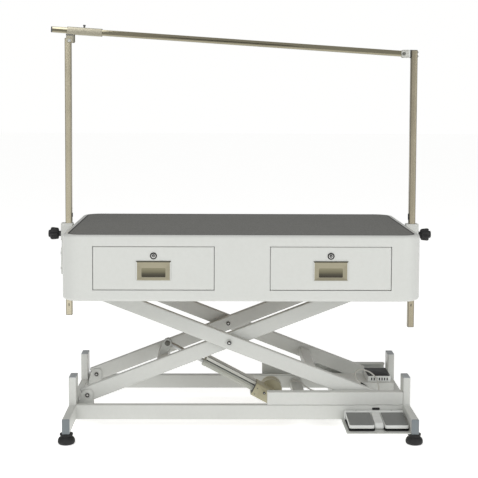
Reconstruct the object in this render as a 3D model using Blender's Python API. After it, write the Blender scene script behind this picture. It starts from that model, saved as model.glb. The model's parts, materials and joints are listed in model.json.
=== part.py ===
"""Electric grooming table with a scissor lift, two drawers and a restraint gantry.

Metres, +Z up. The origin is on the floor, under the centre of the table.
X runs along the table, and the drawers face -Y. The table is modelled at the
height TOP_Z. A box is given by its lowest and highest corner.
"""
import math

import bmesh
import bpy
from mathutils import Matrix, Vector

# ---- driving dimensions ------------------------------------------------------
TOP_LENGTH = 1.150
TOP_WIDTH = 0.650
TOP_Z = 0.681
HOUSING_HEIGHT = 0.215
HOUSING_RADIUS = 0.065
SHEET = 0.0018
MAT_THICKNESS = 0.003
RIM = 0.0165
BOARD_THICKNESS = 0.018
DECK_Z = (0.4985, 0.5010)
DECK_HALF = 0.500
DECK_BACK_Y = -0.1500

TUBE_H = 0.050
TUBE_W = 0.025
TUBE_WALL = 0.002
TUBE_RADIUS = 0.004
GAP = 0.0003
OVERCUT = 0.01

BASE_HALF = 0.575
UPPER_HALF = 0.569
BAR_END_Y = 0.303
FOOT_HEIGHT = 0.034
FOOT_RADIUS = 0.028
FRONT_BEAM_Y = -0.143
REAR_BEAM_Y = 0.254
STOP_POST_TOP = 0.177
STOP_POST_DEPTH = 0.060
STOP_POST_CAP = 0.004
FRONT_POST_Y = -0.143
REAR_POST_Y = 0.190

PIVOT_X = -0.518
PIVOT_Z = 0.104
ARM_LENGTH = 1.0336
ARM_ANGLE = math.radians(21.15)
ARM_OVERHANG = 0.016
PIN_R = 0.006
BORE_R = 0.0066
FRONT_OUTER_Y = -0.112
FRONT_INNER_Y = -0.084
REAR_INNER_Y = 0.195
REAR_OUTER_Y = 0.223
WHEEL_STUD_REACH = 0.0270
INNER_STUD_REACH = 0.0545
CENTRE_HEAD_REACH = 0.0340
CENTRE_HEAD_T = 0.0050
CENTRE_HEAD_R = 0.0095
CROSS_TUBE_W = 0.040
CROSS_TUBE_H = 0.020
OUTER_CROSS_AT = 0.300
INNER_CROSS_AT = 0.2700
ROD_EYE_AHEAD = 0.0308
ROD_EYE_RISE = 0.0402

TRACK_START_X = 0.092
TRACK_DEPTH = 0.028
TRACK_HEIGHT = 0.044
TRACK_WALL = 0.003
ROLLER_R = 0.0160
ROLLER_W = 0.018
UPPER_CHANNEL_DROP = 0.0243
UPPER_PIN_REACH = 0.0600
UPPER_BAR_Z = 0.505

CHEEK_T = 0.0032
CHEEK_CLEAR = 0.0025
CHEEK_PIN_END = 0.0040
BRACKET_FLOOR_T = 0.004
CHEEK_SHAPE = ((-0.031, -0.066), (0.018, -0.066), (0.018, 0.012), (0.013, 0.017), (-0.010, 0.017),
               (-0.021, 0.005), (-0.031, -0.035))

CROSS_MEMBER_X = (0.196, 0.236)
CROSS_MEMBER_H = 0.036
CROSS_MEMBER_WALL = 0.002
MOUNT_CHEEK_Y = 0.0145
MOUNT_CHEEK_HALF_T = 0.002
MOUNT_CHEEK_REACH = 0.016
MOUNT_PIN_HALF = 0.020

TRAY_X = 0.330
TRAY_Y = (0.050, 0.186)
TRAY_Z = (0.070, 0.109)
TRAY_SHEET = 0.0025
TRAY_MEMBER_X = (0.335, 0.365)
TRAY_MEMBER_TOP = 0.0725
CABLE_EXIT = (0.4290, 0.0330, 0.1125)
CABLE_EXIT_ROOT = (0.4550, 0.0502, 0.0900)
CONTROL_BOX = ((0.458, 0.066), (0.5425, 0.172))
CONTROL_BOX_H = 0.024
CABLE_R = 0.0025

SWITCH_X = (0.351, 0.5494)
SWITCH_MIDDLE = (0.4375, 0.4675)
SWITCH_PLATE_X = 0.3425
PEDAL_END = 0.002
PEDAL_GAP = 0.0015
PEDAL_HINGE_Y = -0.1600
PEDAL_HINGE_Z = 0.0640
PEDAL_REAR_Y = -0.1655
PEDAL_FRONT_Y = -0.2790
PEDAL_TOP_Z = 0.0668
PEDAL_FRONT_Z = 0.0575
PEDAL_T = 0.0120
PEDAL_NOSE = 0.001
SWITCH_PLATE_Y = -0.300
SWITCH_PLATE_Z = (0.0345, 0.0375)
HOUSING_OUTLINE = ((-0.1460, 0.0378), (-0.2810, 0.0378), (-0.2810, 0.0415), (-0.1640, 0.0500),
                   (-0.1628, 0.0670), (-0.1600, 0.0690), (-0.1460, 0.0690))
MIDDLE_OUTLINE = ((-0.1500, 0.0460), (-0.2600, 0.0395), (-0.2680, 0.0480), (-0.2580, 0.0590),
                  (-0.1660, 0.0670), (-0.1500, 0.0680))

ACTUATOR_Y = 0.068
ACTUATOR_X = 0.140
ACTUATOR_Z = 0.044
GEARBOX_FROM = 0.028
GEARBOX_TO = 0.098
GEARBOX_SIZE = (0.070, 0.050)
GEARBOX_RADIUS = 0.012
MOTOR_R = 0.038
MOTOR_ALONG = 0.031
MOTOR_UP = 0.012
MOTOR_ACROSS = (0.033, 0.085)
LUG_SIZE = (0.020, 0.026)
LUG_FROM = -0.012
HOUSING_TUBE_TO = 0.301
HOUSING_TUBE_R = 0.015
RAIL_SIZE = (0.022, 0.020)
RAIL_CENTRE = (0.021, 0.015)
RAIL_TO = 0.295
ROD_R = 0.008
ROD_CLEAR = 0.0008
ROD_LENGTH = 0.300
ROD_BORE_TO = 0.056
EYE_R = 0.012
EYE_HALF_T = 0.007

DRAWER_X = (-0.2795, 0.2830)
DRAWER_W = 0.384
DRAWER_Z0 = 0.507
DRAWER_H = 0.1375
DRAWER_GAP = 0.0015
DRAWER_FRONT_T = 0.012
DRAWER_SIDE = 0.010
DRAWER_SHEET = 0.002
DRAWER_DEPTH = 0.160
DRAWER_BOX_H = 0.095
PULL_W = 0.111
PULL_H = 0.0615
PULL_Z = 0.569
PULL_T = 0.0020
RECESS_W = 0.0745
RECESS_H = 0.0275
RECESS_Z = 0.5625
RECESS_DEPTH = 0.0165
CUP_WALL = 0.0025
CUP_CLEAR = 0.0010
LOCK_Z = 0.616
LOCK_R = 0.011
LOCK_BARREL_R = 0.0083
LOCK_BARREL_TO = 0.020

LEFT_POST_X = -0.5900
RIGHT_POST_X = 0.5965
POST_SIZE = 0.022
POST_CLEAR = 0.0006
LEFT_POST_Z = (0.362, 1.318)
RIGHT_POST_Z = (0.321, 1.2825)
GANTRY_WALL = 0.0015
BAR_SIZE = 0.020
BAR_PIVOT = (0.560, 1.2690)
BAR_TILT = math.radians(3.7)
BAR_LEFT = -0.6476
BAR_BEYOND = 0.0115
SLEEVE_X = (-0.592, -0.474)
SLEEVE_SIZE = 0.026
SLEEVE_WALL = 0.0022
SLEEVE_PIVOT = (-0.5840, 1.3085)
HANGER_X = (-0.0115, 0.0160)
HANGER_Z = (1.3015, 1.3330)
HANGER_CLEAR = 0.0008
HANGER_T = 0.0025
FORK_Z = (1.2555, 1.2825)
FORK_REACH = 0.009
FORK_T = 0.003
FORK_PIN_R = 0.004
FORK_CLEAR = 0.0008
BRACKET_Z = (0.505, 0.683)
BRACKET_NOTCH_Z = (0.597, 0.623)
BRACKET_WALL = 0.0050
BRACKET_OUT = (0.6165, 0.6185)
BRACKET_NOTCH = 0.003
KNOB_Z = 0.6455
KNOB_R = 0.022
KNOB_LOBES = 6
KNOB_HEAD = (0.010, 0.037)
KNOB_END = 0.0435
KNOB_NECK_R = 0.0100
KNOB_END_R = 0.0125
THUMB_X = -0.5357
THUMB_R = 0.0052
THUMB_H = 0.0105

# ---- derived places ------------------------------------------------------------
FRONT_FACE_Y = -TOP_WIDTH / 2
BAR_BOTTOM = FOOT_HEIGHT
BAR_TOP = FOOT_HEIGHT + TUBE_H
SKIN_BOTTOM = TOP_Z - MAT_THICKNESS - GAP - SHEET
HOUSING_Z0 = TOP_Z - HOUSING_HEIGHT
BASE_INNER = BASE_HALF - TUBE_W
UPPER_INNER = UPPER_HALF - TUBE_W
ARM_RUN = ARM_LENGTH * math.cos(ARM_ANGLE)
ARM_RISE = ARM_LENGTH * math.sin(ARM_ANGLE)
CENTRE = Vector((PIVOT_X + ARM_RUN / 2, 0.0, PIVOT_Z + ARM_RISE / 2))
UPPER_Z = PIVOT_Z + ARM_RISE
ROLLER_X = PIVOT_X + ARM_RUN
UP_ARM = Vector((math.cos(ARM_ANGLE), 0.0, math.sin(ARM_ANGLE)))
UP_ARM_NORMAL = Vector((-math.sin(ARM_ANGLE), 0.0, math.cos(ARM_ANGLE)))
LOWER_PIVOT = Vector((PIVOT_X, 0.0, PIVOT_Z))
UPPER_PIVOT = Vector((PIVOT_X, 0.0, UPPER_Z))
ROD_EYE = LOWER_PIVOT + UP_ARM * (INNER_CROSS_AT + ROD_EYE_AHEAD) + UP_ARM_NORMAL * ROD_EYE_RISE
ACTUATOR_PIVOT = Vector((ACTUATOR_X, 0.0, ACTUATOR_Z))
ROD_RUN = (ROD_EYE - ACTUATOR_PIVOT).length
ACTUATOR_ANGLE = math.atan2(ROD_EYE.z - ACTUATOR_Z, ACTUATOR_X - ROD_EYE.x)
MIDDLE_Y = (FRONT_INNER_Y + TUBE_W + REAR_INNER_Y) / 2

# ---- materials -------------------------------------------------------------------
PAINT = ("white_paint", (0.66, 0.67, 0.64), 0.45, 0.0)
STAINLESS = ("stainless", (0.55, 0.53, 0.46), 0.30, 1.0)
RUBBER = ("black_rubber", (0.02, 0.02, 0.02), 0.70, 0.0)
MAT_RUBBER = ("mat_rubber", (0.14, 0.14, 0.13), 0.85, 0.0)
ZINC = ("zinc_steel", (0.55, 0.56, 0.56), 0.40, 1.0)
CAST = ("cast_gearbox", (0.40, 0.38, 0.30), 0.50, 0.4)
PEDAL = ("pedal_grey", (0.20, 0.20, 0.19), 0.60, 0.0)
BOARD = ("plywood", (0.45, 0.33, 0.20), 0.70, 0.0)
CABLE = ("cable_jacket", (0.55, 0.54, 0.50), 0.55, 0.0)


def clear_scene():
    for item in list(bpy.data.objects):
        bpy.data.objects.remove(item, do_unlink=True)


def material(spec):
    name, colour, roughness, metallic = spec
    found = bpy.data.materials.get(name)
    if found:
        return found
    made = bpy.data.materials.new(name)
    made.use_nodes = True
    shader = made.node_tree.nodes["Principled BSDF"]
    shader.inputs["Base Color"].default_value = (*colour, 1.0)
    shader.inputs["Roughness"].default_value = roughness
    shader.inputs["Metallic"].default_value = metallic
    return made


def make_object(name, bm, spec, smooth=False):
    bmesh.ops.remove_doubles(bm, verts=bm.verts, dist=1e-6)
    bmesh.ops.recalc_face_normals(bm, faces=bm.faces)
    mesh = bpy.data.meshes.new(name)
    bm.to_mesh(mesh)
    bm.free()
    made = bpy.data.objects.new(name, mesh)
    bpy.context.scene.collection.objects.link(made)
    mesh.materials.append(material(spec))
    if smooth:
        mesh.shade_smooth()
        mesh.set_sharp_from_angle(angle=math.radians(35))
    return made


def apply_modifiers(thing):
    """Replace the mesh of an object by what its modifiers make of it."""
    graph = bpy.context.evaluated_depsgraph_get()
    mesh = bpy.data.meshes.new_from_object(thing.evaluated_get(graph))
    thing.modifiers.clear()
    thing.data = mesh


def boolean(thing, other, operation):
    """Cut or join another object into this one, and remove the other one."""
    modifier = thing.modifiers.new(operation.lower(), "BOOLEAN")
    modifier.operation = operation
    modifier.object = other
    apply_modifiers(thing)
    bpy.data.objects.remove(other, do_unlink=True)
    return thing


def cut(thing, *cutters):
    for cutter in cutters:
        boolean(thing, cutter, "DIFFERENCE")
    return thing


def weld(thing, *others):
    for other in others:
        boolean(thing, other, "UNION")
    return thing


def rounded_outline(width, height, radius, steps=3):
    """Points of a rectangle with round corners, centred on 0, counter-clockwise."""
    points = []
    corners = ((1, 1, 0), (-1, 1, 90), (-1, -1, 180), (1, -1, 270))
    for sign_x, sign_y, start in corners:
        for step in range(steps + 1):
            angle = math.radians(start + 90 * step / steps)
            points.append((sign_x * (width / 2 - radius) + radius * math.cos(angle),
                           sign_y * (height / 2 - radius) + radius * math.sin(angle)))
    return points


def circle(radius, steps=16, centre=(0.0, 0.0)):
    angles = [2 * math.pi * step / steps for step in range(steps)]
    return [(centre[0] + radius * math.cos(a), centre[1] + radius * math.sin(a)) for a in angles]


def to_axis(axis, along, u, v):
    """A point from its place along an axis and its two coordinates across it."""
    if axis == "X":
        return Vector((along, u, v))
    if axis == "Y":
        return Vector((u, along, v))
    return Vector((u, v, along))


def prism(name, outline, axis, low, high, spec, smooth=False):
    """An outline extruded along an axis from low to high."""
    bm = bmesh.new()
    rings = []
    for along in (low, high):
        rings.append([bm.verts.new(to_axis(axis, along, u, v)) for u, v in outline])
    count = len(outline)
    for index in range(count):
        after = (index + 1) % count
        bm.faces.new((rings[0][index], rings[0][after], rings[1][after], rings[1][index]))
    bm.faces.new(rings[0][::-1])
    bm.faces.new(rings[1])
    return make_object(name, bm, spec, smooth)


def box(name, low, high, spec, bevel=0.0, segments=2):
    outline = ((low[0], low[1]), (high[0], low[1]), (high[0], high[1]), (low[0], high[1]))
    made = prism(name, outline, "Z", low[2], high[2], spec)
    if bevel:
        modifier = made.modifiers.new("bevel", "BEVEL")
        modifier.width = bevel
        modifier.segments = segments
        apply_modifiers(made)
        made.data.shade_smooth()
        made.data.set_sharp_from_angle(angle=math.radians(50))
    return made


def cylinder(name, axis, centre, low, high, radius, spec, steps=16):
    """A round bar along an axis; centre is its place across the axis."""
    return prism(name, circle(radius, steps, centre), axis, low, high, spec, smooth=True)


def turned(name, profile, spec, steps=24):
    """A solid turned about Z from (radius, z) points that start and end on the axis."""
    bm = bmesh.new()
    rings = []
    for radius, z in profile:
        if radius == 0:
            rings.append([bm.verts.new((0, 0, z))])
        else:
            rings.append([bm.verts.new((u, v, z)) for u, v in circle(radius, steps)])
    for lower, upper in zip(rings, rings[1:]):
        for index in range(steps):
            after = (index + 1) % steps
            corners = [lower[index % len(lower)], lower[after % len(lower)],
                       upper[after % len(upper)], upper[index % len(upper)]]
            unique = list(dict.fromkeys(corners))
            bm.faces.new(unique)
    return make_object(name, bm, spec, smooth=True)


def hollow_tube(name, axis, centre, size, low, high, spec, wall=TUBE_WALL, radius=TUBE_RADIUS):
    """A rectangular tube with open ends; centre and size are across the axis."""
    outline = [(u + centre[0], v + centre[1]) for u, v in rounded_outline(*size, radius)]
    tube = prism(name, outline, axis, low, high, spec, smooth=True)
    inner = rounded_outline(size[0] - 2 * wall, size[1] - 2 * wall, radius / 2, 1)
    inner = [(u + centre[0], v + centre[1]) for u, v in inner]
    return cut(tube, prism("bore", inner, axis, low - 0.01, high + 0.01, spec))


def pivot(name, point, y=0.0):
    """An empty on a joint's axis."""
    empty = bpy.data.objects.new(name, None)
    empty.location = (point[0], y, point[2])
    bpy.context.scene.collection.objects.link(empty)
    return empty


def ride(empty, *things):
    """Parent things to an empty, and leave them where they are."""
    for thing in things:
        thing.parent = empty
        thing.matrix_parent_inverse = Matrix.Translation(-empty.location)


def turn(thing, point, angle):
    """Turn a mesh about the Y axis through a point; a positive angle lifts +X."""
    about = Vector((point[0], 0.0, point[2]))
    matrix = Matrix.Translation(about) @ Matrix.Rotation(-angle, 4, "Y") @ Matrix.Translation(-about)
    thing.data.transform(matrix)
    return thing


# ---- base ------------------------------------------------------------------------
def base_frame():
    for side, name in ((-1, "left_end_bar"), (1, "right_end_bar")):
        middle = side * (BASE_HALF - TUBE_W / 2)
        hollow_tube(name, "Y", (middle, FOOT_HEIGHT + TUBE_H / 2), (TUBE_W, TUBE_H),
                    -BAR_END_Y, BAR_END_Y, PAINT)
    for y, name in ((FRONT_BEAM_Y, "front_beam"), (REAR_BEAM_Y, "rear_beam")):
        hollow_tube(name, "X", (y + TUBE_W / 2, FOOT_HEIGHT + TUBE_H / 2), (TUBE_W, TUBE_H),
                    -BASE_INNER + GAP, BASE_INNER - GAP, PAINT)


def stop_post(name, side, y):
    """A hollow stop post, closed by a cap on top, standing on an end bar."""
    middle = (side * (BASE_HALF - TUBE_W / 2), y + STOP_POST_DEPTH / 2)
    outline = rounded_outline(TUBE_W, STOP_POST_DEPTH, TUBE_RADIUS)
    shape = [(u + middle[0], v + middle[1]) for u, v in outline]
    post = prism(name, shape, "Z", BAR_TOP + GAP, STOP_POST_TOP, PAINT, smooth=True)
    half_x = TUBE_W / 2 - TUBE_WALL
    half_y = STOP_POST_DEPTH / 2 - TUBE_WALL
    hollow = [(middle[0] + sx * half_x, middle[1] + sy * half_y)
              for sx, sy in ((1, 1), (-1, 1), (-1, -1), (1, -1))]
    cap = STOP_POST_TOP - STOP_POST_CAP
    return cut(post, prism("hollow", hollow, "Z", BAR_TOP - OVERCUT, cap, PAINT))


def stop_posts():
    for side, word in ((-1, "left"), (1, "right")):
        stop_post("front_%s_stop_post" % word, side, FRONT_POST_Y)
        stop_post("rear_%s_stop_post" % word, side, REAR_POST_Y)


def feet():
    """Rubber levelling feet, each turning on its own stud."""
    collar = FOOT_RADIUS * 0.68
    profile = ((0, 0), (FOOT_RADIUS * 0.80, 0), (FOOT_RADIUS * 0.96, 0.004), (FOOT_RADIUS, 0.011),
               (FOOT_RADIUS * 0.93, 0.018), (FOOT_RADIUS * 0.76, 0.025), (collar, 0.028),
               (collar, FOOT_HEIGHT - GAP), (0, FOOT_HEIGHT - GAP))
    for x, across in ((-1, "left"), (1, "right")):
        for y, along in ((-1, "front"), (1, "rear")):
            foot = turned("%s_%s_foot" % (along, across), profile, RUBBER)
            foot.location = (x * (BASE_HALF - TUBE_W / 2), y * (BAR_END_Y - 0.015), 0.0)


def channel(name, y_web, y_open, z0, z1, x0, x1):
    """A C-shaped rail with its web at y_web, open towards y_open."""
    inward = 1 if y_open > y_web else -1
    rail = box(name, (x0, min(y_web, y_open), z0), (x1, max(y_web, y_open), z1), PAINT, 0.002, 1)
    web = y_web + inward * TRACK_WALL
    beyond = y_open + inward * 0.01
    hollow = box("hollow", (x0 - 0.01, min(web, beyond), z0 + TRACK_WALL),
                 (x1 + 0.01, max(web, beyond), z1 - TRACK_WALL), PAINT)
    return cut(rail, hollow)


def lower_tracks():
    z0 = BAR_TOP + GAP
    rear_web = REAR_BEAM_Y + TUBE_W
    x1 = BASE_INNER - GAP
    channel("front_lower_track", FRONT_BEAM_Y, FRONT_BEAM_Y + TRACK_DEPTH,
            z0, z0 + TRACK_HEIGHT, TRACK_START_X, x1)
    channel("rear_lower_track", rear_web, rear_web - TRACK_DEPTH,
            z0, z0 + TRACK_HEIGHT, TRACK_START_X, x1)


def pivot_bracket(name, beam_face, arm_y, towards_beam):
    """A fork on a beam that holds the lower end of an inner arm, with its pin."""
    near = arm_y - CHEEK_CLEAR - CHEEK_T
    far = arm_y + TUBE_W + CHEEK_CLEAR + CHEEK_T
    outline = [(PIVOT_X + u, max(PIVOT_Z + v, FOOT_HEIGHT)) for u, v in CHEEK_SHAPE]
    cheeks = []
    for y in (near, far - CHEEK_T):
        cheeks.append(prism("cheek", outline, "Y", y, y + CHEEK_T, PAINT))
    low = beam_face + GAP if towards_beam < 0 else near
    high = far if towards_beam < 0 else beam_face - GAP
    x0, x1 = outline[0][0], outline[1][0]
    floor = box(name, (x0, low, FOOT_HEIGHT), (x1, high, FOOT_HEIGHT + BRACKET_FLOOR_T), PAINT)
    pin = cylinder("pin", "Y", (PIVOT_X, PIVOT_Z), near - CHEEK_PIN_END, far + CHEEK_PIN_END, PIN_R, ZINC)
    return weld(floor, cheeks[0], cheeks[1], pin)


def lower_brackets():
    pivot_bracket("front_pivot_bracket", FRONT_BEAM_Y + TUBE_W, FRONT_INNER_Y, -1)
    pivot_bracket("rear_pivot_bracket", REAR_BEAM_Y, REAR_INNER_Y, 1)


def actuator_mount():
    """The cross-member between the beams, with the fork of the lift actuator."""
    x0, x1 = CROSS_MEMBER_X
    z1 = FOOT_HEIGHT + CROSS_MEMBER_H
    wall = CROSS_MEMBER_WALL
    tube = box("actuator_cross_member", (x0, FRONT_BEAM_Y + TUBE_W + GAP, FOOT_HEIGHT),
               (x1, REAR_BEAM_Y - GAP, z1), PAINT, 0.003, 2)
    cut(tube, box("hollow", (x0 + wall, FRONT_BEAM_Y, FOOT_HEIGHT + wall),
                  (x1 - wall, REAR_BEAM_Y + OVERCUT, z1 - wall), PAINT))
    for sign in (-1, 1):
        y = ACTUATOR_Y + sign * MOUNT_CHEEK_Y
        low = (ACTUATOR_X - MOUNT_CHEEK_REACH, y - MOUNT_CHEEK_HALF_T, FOOT_HEIGHT + wall / 2)
        high = (x0 + wall * 0.75, y + MOUNT_CHEEK_HALF_T, ACTUATOR_Z + MOUNT_CHEEK_REACH)
        weld(tube, box("cheek", low, high, PAINT))
    pin = cylinder("pin", "Y", (ACTUATOR_X, ACTUATOR_Z), ACTUATOR_Y - MOUNT_PIN_HALF,
                   ACTUATOR_Y + MOUNT_PIN_HALF, PIN_R, ZINC)
    return weld(tube, pin)


def control_tray():
    """The folded tray between the tracks and the control box on it."""
    y0, y1 = TRAY_Y
    z0, z1 = TRAY_Z
    sheet = TRAY_SHEET
    outline = ((y0, z0), (y0 + sheet, z0), (y0 + sheet, z1 - sheet), (y1 - sheet, z1 - sheet),
               (y1 - sheet, z0), (y1, z0), (y1, z1), (y0, z1))
    tray = prism("control_tray", outline, "X", TRAY_X, BASE_INNER - GAP, PAINT)
    member = box("member", (TRAY_MEMBER_X[0], FRONT_BEAM_Y + TUBE_W + GAP, FOOT_HEIGHT),
                 (TRAY_MEMBER_X[1], REAR_BEAM_Y - GAP, TRAY_MEMBER_TOP), PAINT, 0.003, 2)
    relief = tapered("relief", CABLE_EXIT_ROOT, CABLE_EXIT, 0.0055, 0.0038, RUBBER)
    weld(tray, member, relief)
    low, high = CONTROL_BOX
    box("control_box", (*low, z1 + GAP), (*high, z1 + CONTROL_BOX_H), RUBBER, 0.003, 2)


def tapered(name, start, end, radius_start, radius_end, spec, steps=12):
    """A tapered round piece between two points."""
    bm = bmesh.new()
    direction = (Vector(end) - Vector(start)).normalized()
    frame = direction.to_track_quat("Z", "Y").to_matrix()
    rings = []
    for point, radius in ((start, radius_start), (end, radius_end)):
        rings.append([bm.verts.new(Vector(point) + frame @ Vector((u, v, 0)))
                      for u, v in circle(radius, steps)])
    for index in range(steps):
        after = (index + 1) % steps
        bm.faces.new((rings[0][index], rings[0][after], rings[1][after], rings[1][index]))
    bm.faces.new(rings[0][::-1])
    bm.faces.new(rings[1])
    return make_object(name, bm, spec, smooth=True)


def smooth_route(points, count):
    """Points read from a Catmull-Rom curve through the route's own points."""
    knots = [Vector(p) for p in points]
    knots = [2 * knots[0] - knots[1]] + knots + [2 * knots[-1] - knots[-2]]
    spans = len(points) - 1
    route = []
    for step in range(count + 1):
        place = spans * step / count
        span = min(int(place), spans - 1)
        t = place - span
        a, b, c, d = knots[span:span + 4]
        route.append(0.5 * ((2 * b) + (c - a) * t + (2 * a - 5 * b + 4 * c - d) * t * t
                            + (3 * b - a - 3 * c + d) * t * t * t))
    return route


def cable(name, points, count):
    curve = bpy.data.curves.new(name, "CURVE")
    curve.dimensions = "3D"
    curve.bevel_depth = CABLE_R
    curve.bevel_resolution = 2
    curve.use_fill_caps = True
    spline = curve.splines.new("POLY")
    route = smooth_route(points, count)
    spline.points.add(len(route) - 1)
    for knot, place in zip(spline.points, route):
        knot.co = (*place, 1.0)
    made = bpy.data.objects.new(name, curve)
    curve.materials.append(material(CABLE))
    bpy.context.scene.collection.objects.link(made)
    return made


def base_cables():
    """The foot switch's cable, from the tray to the front beam, and the lift motor's."""
    cable("switch_cable", ((0.4286, 0.0327, 0.1128), (0.4150, 0.0250, 0.1300), (0.4085, 0.0200, 0.1480),
                           (0.4180, 0.0180, 0.1620), (0.4380, 0.0180, 0.1640), (0.4640, 0.0180, 0.1530),
                           (0.4830, 0.0160, 0.1330), (0.4900, 0.0100, 0.1080), (0.4890, -0.0050, 0.0840),
                           (0.4860, -0.0330, 0.0640), (0.4800, -0.0700, 0.0590), (0.4760, -0.1000, 0.0590),
                           (0.4750, -0.1175, 0.0590)), 60)
    cable("actuator_cable", ((0.1900, 0.1500, 0.0860), (0.2080, 0.1490, 0.0890), (0.2280, 0.1460, 0.0840),
                             (0.2520, 0.1420, 0.0660), (0.2750, 0.1380, 0.0560), (0.3050, 0.1340, 0.0540),
                             (0.3345, 0.1330, 0.0540)), 40)


# ---- foot switch -----------------------------------------------------------------
def switch_bracket():
    """The plate on the beam's lower edge that carries the foot switch."""
    low = (SWITCH_PLATE_X, SWITCH_PLATE_Y, SWITCH_PLATE_Z[0])
    high = (BASE_INNER - GAP, FRONT_BEAM_Y - GAP, SWITCH_PLATE_Z[1])
    box("switch_plate", low, high, PAINT)


def switch_housing():
    housing = prism("switch_housing", HOUSING_OUTLINE, "X", SWITCH_X[0], SWITCH_X[1], PAINT)
    return weld(housing, prism("middle", MIDDLE_OUTLINE, "X", SWITCH_MIDDLE[0], SWITCH_MIDDLE[1], PAINT))


def pedal(name, x0, x1):
    """A sloping pad hinged along its rear edge."""
    outline = ((PEDAL_REAR_Y, PEDAL_TOP_Z), (PEDAL_FRONT_Y, PEDAL_FRONT_Z),
               (PEDAL_FRONT_Y - PEDAL_NOSE, PEDAL_FRONT_Z - PEDAL_T / 2),
               (PEDAL_FRONT_Y, PEDAL_FRONT_Z - PEDAL_T), (PEDAL_REAR_Y, PEDAL_TOP_Z - PEDAL_T))
    thing = prism(name, outline, "X", x0, x1, PEDAL)
    empty = pivot("%s_hinge" % name, (0.5 * (x0 + x1), 0, PEDAL_HINGE_Z), PEDAL_HINGE_Y)
    ride(empty, thing)


def foot_switch():
    switch_bracket()
    switch_housing()
    pedal("left_pedal", SWITCH_X[0] + PEDAL_END, SWITCH_MIDDLE[0] - PEDAL_GAP)
    pedal("right_pedal", SWITCH_MIDDLE[1] + PEDAL_GAP, SWITCH_X[1] - PEDAL_END)


# ---- scissor ---------------------------------------------------------------------
def arm_tube(name, y, spec):
    """A straight arm from the lower pivot along +X, to be turned into place."""
    return hollow_tube(name, "X", (y + TUBE_W / 2, PIVOT_Z), (TUBE_W, TUBE_H),
                       PIVOT_X - ARM_OVERHANG, PIVOT_X + ARM_LENGTH + ARM_OVERHANG, spec)


def bore(x, y):
    return cylinder("bore", "Y", (x, PIVOT_Z), y - 0.01, y + TUBE_W + 0.01, BORE_R, PAINT, 12)


def stud(x, low, high, radius=PIN_R):
    return cylinder("stud", "Y", (x, PIVOT_Z), low, high, radius, ZINC, 12)


def inner_arm(name, y, outward):
    """An arm from the lower pivot to the upper roller, with its centre pin."""
    far = PIVOT_X + ARM_LENGTH
    middle = PIVOT_X + ARM_LENGTH / 2
    inside = y + TUBE_W - 0.001 if outward < 0 else y + 0.001
    face = y if outward < 0 else y + TUBE_W
    reach = face + outward * INNER_STUD_REACH
    head = face + outward * CENTRE_HEAD_REACH
    arm = arm_tube(name, y, PAINT)
    cut(arm, bore(PIVOT_X, y))
    weld(arm, stud(far, min(inside, reach), max(inside, reach)))
    weld(arm, stud(middle, min(inside, head), max(inside, head)))
    cap = sorted((head - outward * CENTRE_HEAD_T, head + outward * 0.001))
    weld(arm, stud(middle, *cap, CENTRE_HEAD_R))
    return turn(arm, LOWER_PIVOT, ARM_ANGLE)


def outer_arm(name, y, outward):
    """An arm from the upper pivot down to the lower roller."""
    arm = arm_tube(name, y, PAINT)
    middle = PIVOT_X + ARM_LENGTH / 2
    far = PIVOT_X + ARM_LENGTH
    inside = y + TUBE_W - 0.001 if outward < 0 else y + 0.001
    face = y if outward < 0 else y + TUBE_W
    reach = face + outward * WHEEL_STUD_REACH
    cut(arm, bore(PIVOT_X, y), bore(middle, y))
    weld(arm, stud(far, min(inside, reach), max(inside, reach)))
    arm.data.transform(Matrix.Translation(UPPER_PIVOT - LOWER_PIVOT))
    return turn(arm, UPPER_PIVOT, -ARM_ANGLE)


def cross_tube(name, along, rise, y0, y1, angle, start):
    """A flat tube across the arms; along and rise are measured from start."""
    centre = (start.x + along, start.z + rise)
    tube = hollow_tube(name, "Y", centre, (CROSS_TUBE_W, CROSS_TUBE_H), y0, y1, PAINT,
                       wall=0.002, radius=0.003)
    return turn(tube, start, angle)


def rod_fork(tube):
    """Two plates on the inner cross tube, on both sides of the rod's eye."""
    x = LOWER_PIVOT.x + INNER_CROSS_AT
    z = LOWER_PIVOT.z + CROSS_TUBE_H / 2
    for sign in (-1, 1):
        y = ACTUATOR_Y + sign * 0.0140
        outline = ((x - 0.018, z - 0.0012), (x + 0.018, z - 0.0012), (x + 0.044, z + 0.023),
                   (x + 0.045, z + 0.035), (x + 0.037, z + 0.043), (x + 0.025, z + 0.043),
                   (x + 0.016, z + 0.036))
        plate = prism("plate", outline, "Y", y - 0.002, y + 0.002, PAINT)
        weld(tube, turn(plate, LOWER_PIVOT, ARM_ANGLE))
    return tube


def roller(name, x, z, y0, y1):
    wheel = cylinder(name, "Y", (x, z), y0, y1, ROLLER_R, RUBBER, 24)
    return cut(wheel, cylinder("bore", "Y", (x, z), y0 - 0.01, y1 + 0.01, BORE_R, RUBBER, 12))


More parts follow.
